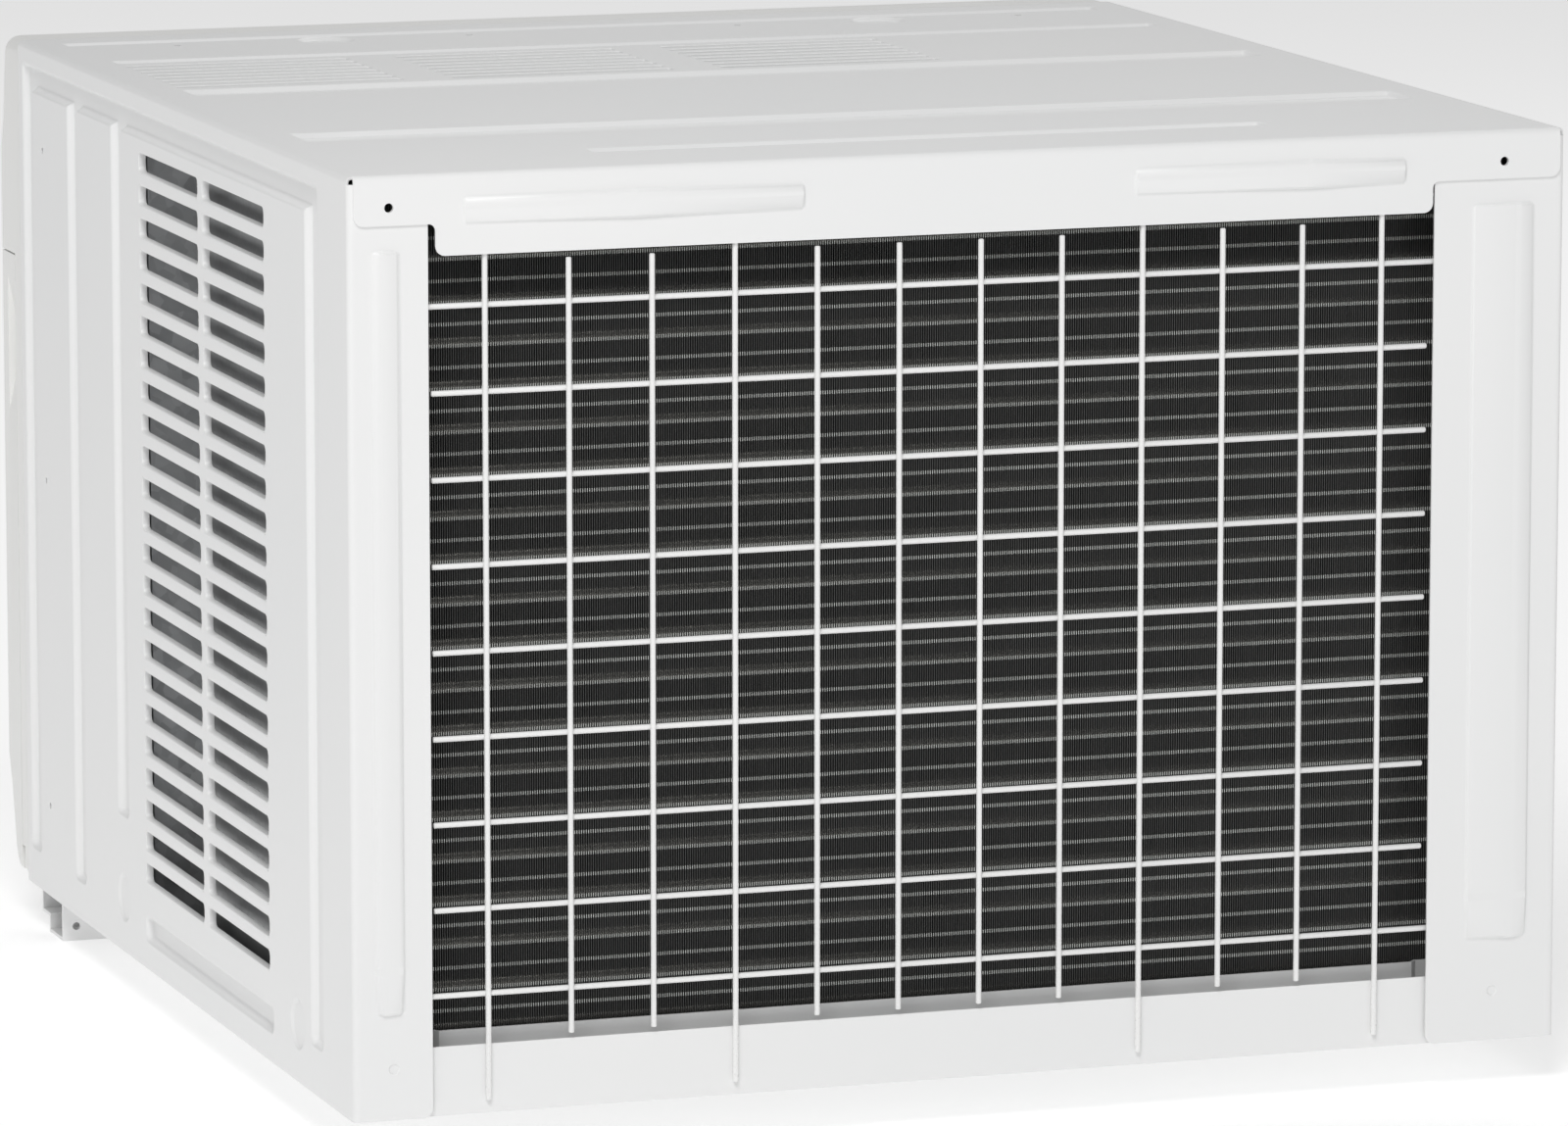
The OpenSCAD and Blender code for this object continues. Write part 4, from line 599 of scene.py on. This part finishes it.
def sheetCuts():
    bm = bmesh.new()
    reach = sheet["cutReach"]
    for s, t in sideSlotPlaces():
        hs, ht = sheet["slotHigh"] / 2, sheet["slotLong"] / 2
        roundedPrism(bm, s - hs, t - ht, s + hs, t + ht, sheet["slotR"], -reach, reach)
    for s, t in topSlotPlaces():
        hs, ht = sheet["topSlotLong"] / 2, sheet["topSlotWide"] / 2
        roundedPrism(bm, s - hs, t - ht, s + hs, t + ht, sheet["topSlotR"], -reach, reach)
    for s, t, radius in roundHoles:
        roundCut(bm, s, t, radius, -reach, reach)
    for s, t, radius, _ in dishes:
        roundCut(bm, s, t, radius, -reach, reach, sheet["dishSides"])
    return objectFrom(bm, "sheetCuts")


def slotLip(bm, halfS, halfT, radius, deep, wall):
    slack = 0.01
    roundedPrism(bm, -halfS, -halfT, halfS, halfT, radius, 0, -deep, 2)
    bmesh.ops.recalc_face_normals(bm, faces=bm.faces)
    caps = [f for f in bm.faces if abs(f.normal.z) > 0.9]
    inset = bmesh.ops.inset_region(bm, faces=caps, thickness=wall, use_even_offset=True)
    inner = [f for f in bm.faces if abs(f.normal.z) > 0.9 and f not in inset["faces"]]
    rims = [e for f in inner for e in f.edges]
    bmesh.ops.delete(bm, geom=inner, context="FACES_ONLY")
    bmesh.ops.bridge_loops(bm, edges=rims)

    def onInnerRim(vert):
        return (vert.co.z > -slack and abs(vert.co.x) <= halfS - wall + slack
                and abs(vert.co.y) <= halfT - wall + slack)

    lipEdges = [e for e in bm.edges if all(onInnerRim(v) for v in e.verts)]
    bmesh.ops.bevel(bm, geom=lipEdges, offset=sheet["lipSoft"], offset_type="OFFSET", segments=2, profile=0.5,
                    affect="EDGES", material=-1)


def addCopies(bm, source, places):
    mesh = bpy.data.meshes.new("lip")
    bmesh.ops.recalc_face_normals(source, faces=source.faces)
    source.to_mesh(mesh)
    source.free()
    for s, t in places:
        before = len(bm.verts)
        bm.from_mesh(mesh)
        bm.verts.ensure_lookup_table()
        bmesh.ops.translate(bm, verts=bm.verts[before:], vec=(s, t, 0))
    bpy.data.meshes.remove(mesh)


def addDish(bm, radius, deep):
    k = radius / 14
    profile = [(radius, -sheet["wall"]), (radius, 0), (radius - 0.5 * k, -0.05),
               (radius - 1.2 * k, -0.3 * deep), (radius - 2 * k, -0.75 * deep),
               (radius - 2.8 * k, -0.97 * deep), (radius - 4 * k, -deep), (0, -deep)]
    verts = [bm.verts.new((r, 0, h)) for r, h in profile]
    edges = [bm.edges.new(pair) for pair in zip(verts, verts[1:])]
    bmesh.ops.spin(bm, geom=verts + edges, cent=(0, 0, 0), axis=(0, 0, 1), dvec=(0, 0, 0),
                   angle=2 * pi, steps=sheet["dishSides"], use_merge=True)


def cabinetSheet():
    slab = pressedSlab()
    combine(slab, netOutline(), "INTERSECT")
    combine(slab, sheetCuts(), "DIFFERENCE")
    bm = bmesh.new()
    bm.from_mesh(slab.data)
    lip = bmesh.new()
    slotLip(lip, sheet["slotHigh"] / 2, sheet["slotLong"] / 2, sheet["slotR"], *sheet["sideLip"])
    addCopies(bm, lip, sideSlotPlaces())
    lip = bmesh.new()
    slotLip(lip, sheet["topSlotLong"] / 2, sheet["topSlotWide"] / 2, sheet["topSlotR"], *sheet["topLip"])
    addCopies(bm, lip, topSlotPlaces())
    for s, t, radius, deep in dishes:
        dish = bmesh.new()
        addDish(dish, radius, deep)
        bmesh.ops.remove_doubles(dish, verts=dish.verts, dist=0.001)
        addCopies(bm, dish, [(s, t)])
    for vert in bm.verts:
        vert.co = foldPoint(vert.co)
    slabMesh = slab.data
    bpy.data.objects.remove(slab)
    bpy.data.meshes.remove(slabMesh)
    bmesh.ops.recalc_face_normals(bm, faces=bm.faces)
    piece = newPiece("cabinetSheet", bm, "cabinet", "cabinet_paint", ["cabinet_shell"], 40)
    print("cabinet sheet:", len(piece.data.polygons), "faces")


cabinetSheet()


# wire grille
grille = {
    "wireR": 1.5, "pitch": 44.18, "columns": 12, "rows": 9, "middle": 15.0, "firstUp": 62.0 + 26,
    "uprightY": 362.9, "levelY": 360.7, "longColumns": (0, 3, 8, 11), "shortFoot": 64.8, "shortHead": 464.0,
    "longFoot": 33.0, "longHead": 477.0, "left": -254.5, "right": 286.0, "outerReach": 14.0, "sides": 12,
}


def wire(bm, startMm, endMm):
    start, end, radius = Vector(startMm) * mm, Vector(endMm) * mm, grille["wireR"] * mm
    turn = (end - start).to_track_quat("Z", "Y").to_matrix().to_4x4()
    middle = Matrix.Translation((start + end) / 2) @ turn
    made = bmesh.ops.create_cone(bm, cap_ends=True, segments=grille["sides"], radius1=radius, radius2=radius,
                                 depth=(end - start).length, matrix=middle)
    rims = [e for e in {e for v in made["verts"] for e in v.link_edges}
            if abs((e.verts[0].co - e.verts[1].co).dot(end - start)) < 1e-9]
    bmesh.ops.bevel(bm, geom=rims, offset=radius * 0.45, offset_type="OFFSET", segments=2, profile=0.5,
                    affect="EDGES", material=-1)


def wireGrille():
    bm = bmesh.new()
    span = grille["pitch"] * (grille["columns"] - 1)
    for column in range(grille["columns"]):
        x = grille["middle"] + span / 2 - column * grille["pitch"]
        isLong = column in grille["longColumns"]
        foot = grille["longFoot"] if isLong else grille["shortFoot"]
        head = grille["longHead"] if isLong else grille["shortHead"]
        wire(bm, (x, grille["uprightY"], foot), (x, grille["uprightY"], head))
    for row in range(grille["rows"]):
        z = grille["firstUp"] + row * grille["pitch"]
        reach = grille["outerReach"] if row in (0, grille["rows"] - 1) else 0
        left, right = grille["left"] - reach, grille["right"] + reach
        wire(bm, (left, grille["levelY"], z), (right, grille["levelY"], z))
    piece = newPiece("wireGrille", bm, "cabinet", "wire_coat", ["rear_grille"])
    print("wire grille:", len(piece.data.polygons), "faces")


wireGrille()


# coils: thin fins on straight tubes
coils = {
    # the outdoor tube look is darkened as painted shade
    "outdoor": {"node": "condenser_fins", "pitch": 1.24, "fin": 0.2, "tubeR": 4.4, "tubePitch": 22.09,
                "rows": (6.2, 28.2), "front": 1, "slot": "fin_dark", "tubeLook": "tube_painted_shade",
                "tubeFrom": 88.0 + 22.09 - 44.18},
    "indoor": {"node": "evaporator_fins", "pitch": 1.8, "fin": 0.25, "tubeR": 4.0, "tubePitch": 21.5,
               "rows": (11.0, 31.0), "front": -1, "slot": "fin_bright", "tubeLook": "copper",
               "tubeFrom": 62.0},
}


def coilFins(name, coil):
    low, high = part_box(coil["node"])
    bm = bmesh.new()
    count = int((high.x - low.x) / (coil["pitch"] * mm))
    for index in range(count):
        x = low.x + (index + 0.5) * (high.x - low.x) / count
        middle = Matrix.Translation((x, (low.y + high.y) / 2, (low.z + high.z) / 2))
        bmesh.ops.create_cube(bm, size=1, matrix=middle @ Matrix.Diagonal(
            (coil["fin"] * mm, high.y - low.y, high.z - low.z, 1)))
    newPiece(name + "Fins", bm, "chassis", coil["slot"], [coil["node"]])
    bm = bmesh.new()
    z = coil["tubeFrom"] * mm
    while z < high.z - coil["tubeR"] * mm:
        if z > low.z + coil["tubeR"] * mm:
            for depth in coil["rows"]:
                y = high.y - depth * mm if coil["front"] == 1 else low.y + depth * mm
                turn = Matrix.Translation(((low.x + high.x) / 2, y, z)) @ Matrix.Rotation(pi / 2, 4, "Y")
                bmesh.ops.create_cone(bm, cap_ends=True, segments=16, radius1=coil["tubeR"] * mm,
                                      radius2=coil["tubeR"] * mm, depth=high.x - low.x, matrix=turn)
        z += coil["tubePitch"] * mm
    newPiece(name + "Tubes", bm, "chassis", coil["slot"], look=coil["tubeLook"])
    print(name, "coil:", count, "fins")


coilFins("outdoor", coils["outdoor"])
coilFins("indoor", coils["indoor"])


# moulded, folded and machined parts with their edges broken: width of the break in mm
breakWidths = {
    0.9: ["front_bezel", "intake_panel"],
    0.5: ["control_panel", "button_1", "button_2", "button_3", "button_4", "button_5", "vent_pull",
          "louvre_1", "louvre_2", "louvre_3", "louvre_4", "deflector_1", "deflector_2", "deflector_3",
          "deflector_4", "deflector_5", "deflector_6", "terminal_cover", "cord_gland", "air_duct",
          "blower_housing", "blower_inlet_plate", "motor_body", "run_capacitor", "filter_frame"],
    0.35: ["sill_rail", "case_bottom", "base_pan", "fan_shroud", "bulkhead", "control_box", "motor_bracket",
           "vent_door", "condenser_end_plates", "evaporator_end_plates", "circuit_board", "outdoor_fan",
           "blower_wheel", "compressor_grommets", "compressor_nuts", "rail_screws", "bezel_screws",
           "motor_bolts", "motor_bushes", "display_lens"],
}
breakAbove = 32
# the fan shroud takes the darkened sheet, painted shade; the base pan takes a pale sheet
ownLooks = {"fan_shroud": "cheek_sheet_painted_shade", "base_pan": "pan_sheet"}
bodyOf = {node: body for body, names in frame["record"]["behaviour"]["bodies"].items() for node in names}
slotOf = {part["node"]: part["material_slot"] for part in frame["record"]["subparts"]}


def pieceName(node):
    first, *rest = node.split("_")
    return first + "".join(word.capitalize() for word in rest) + "Soft"


def softCopy(node, width):
    source = nodes[node]
    bm = bmesh.new()
    bm.from_mesh(source.data)
    bm.transform(source.matrix_world)
    bmesh.ops.remove_doubles(bm, verts=bm.verts, dist=0.00001)
    bmesh.ops.recalc_face_normals(bm, faces=bm.faces)
    flat = [e for e in bm.edges if len(e.link_faces) == 2 and e.calc_face_angle(0) < 0.002]
    bmesh.ops.dissolve_edges(bm, edges=flat, use_verts=False)
    piece = newPiece(pieceName(node), bm, bodyOf[node], slotOf[node], [node], breakAbove, ownLooks.get(node))
    bevel = piece.modifiers.new("edges", "BEVEL")
    bevel.width, bevel.segments = width * mm, 2
    bevel.limit_method, bevel.angle_limit = "ANGLE", radians(breakAbove)


for width, names in breakWidths.items():
    for name in names:
        softCopy(name, width)
print("softened copies:", sum(len(names) for names in breakWidths.values()))


# rolled front edge of the shroud's +X cheek, with the sheet that turns in from it
cheek = {"x": 318.4, "frontY": 38.0, "roll": 8.0, "rollIn": 1.0, "turn": 0.62, "wall": 1.2, "foot": 52.0,
         "head": 500.0, "inX": 262.0, "inY": -18.0, "steps": 9, "inSteps": 6, "sweep": 1.6}


def rolledCheek():
    roll, steps, inSteps = cheek["roll"], cheek["steps"], cheek["inSteps"]
    middleX, middleY = cheek["x"] - roll, cheek["frontY"] - cheek["rollIn"]
    angles = [pi * cheek["turn"] * k / steps for k in range(steps + 1)]
    line = [(middleX + roll * cos(a), middleY - roll * sin(a)) for a in angles]
    endX, endY = line[-1]
    shares = [k / inSteps for k in range(1, inSteps + 1)]
    line += [(endX + (cheek["inX"] - endX) * part, endY + (cheek["inY"] - endY) * part ** cheek["sweep"])
             for part in shares]
    bm = bmesh.new()
    verts = [bm.verts.new(Vector((x, y, cheek["foot"])) * mm) for x, y in line]
    made = bmesh.ops.extrude_edge_only(bm, edges=[bm.edges.new(pair) for pair in zip(verts, verts[1:])])
    moved = [g for g in made["geom"] if isinstance(g, bmesh.types.BMVert)]
    bmesh.ops.translate(bm, verts=moved, vec=(0, 0, (cheek["head"] - cheek["foot"]) * mm))
    bmesh.ops.recalc_face_normals(bm, faces=bm.faces)
    bmesh.ops.solidify(bm, geom=bm.faces[:], thickness=cheek["wall"] * mm)
    bmesh.ops.recalc_face_normals(bm, faces=bm.faces)
    # pale coated look: painted highlight on the rolled edge
    piece = newPiece("rolledCheek", bm, "chassis", "galvanised", look="roll_sheet_painted_highlight")
    print("rolled cheek:", len(piece.data.polygons), "faces")


rolledCheek()


# floor
def studioFloor():
    bm = bmesh.new()
    bmesh.ops.create_grid(bm, x_segments=1, y_segments=1, size=14)
    mesh = bpy.data.meshes.new("floor")
    bm.to_mesh(mesh)
    bm.free()
    floor = bpy.data.objects.new("floor", mesh)
    bpy.context.scene.collection.objects.link(floor)
    tone = studio["floorTone"]
    paper = finish("floorPaper", (tone, tone, tone), (tone, tone, tone), (0.8, 0.9))
    glow = paper.node_tree.nodes["Principled BSDF"]
    glow.inputs["Emission Color"].default_value = (1, 1, 1, 1)
    glow.inputs["Emission Strength"].default_value = studio["floorGlow"]
    floor.data.materials.append(paper)


studioFloor()
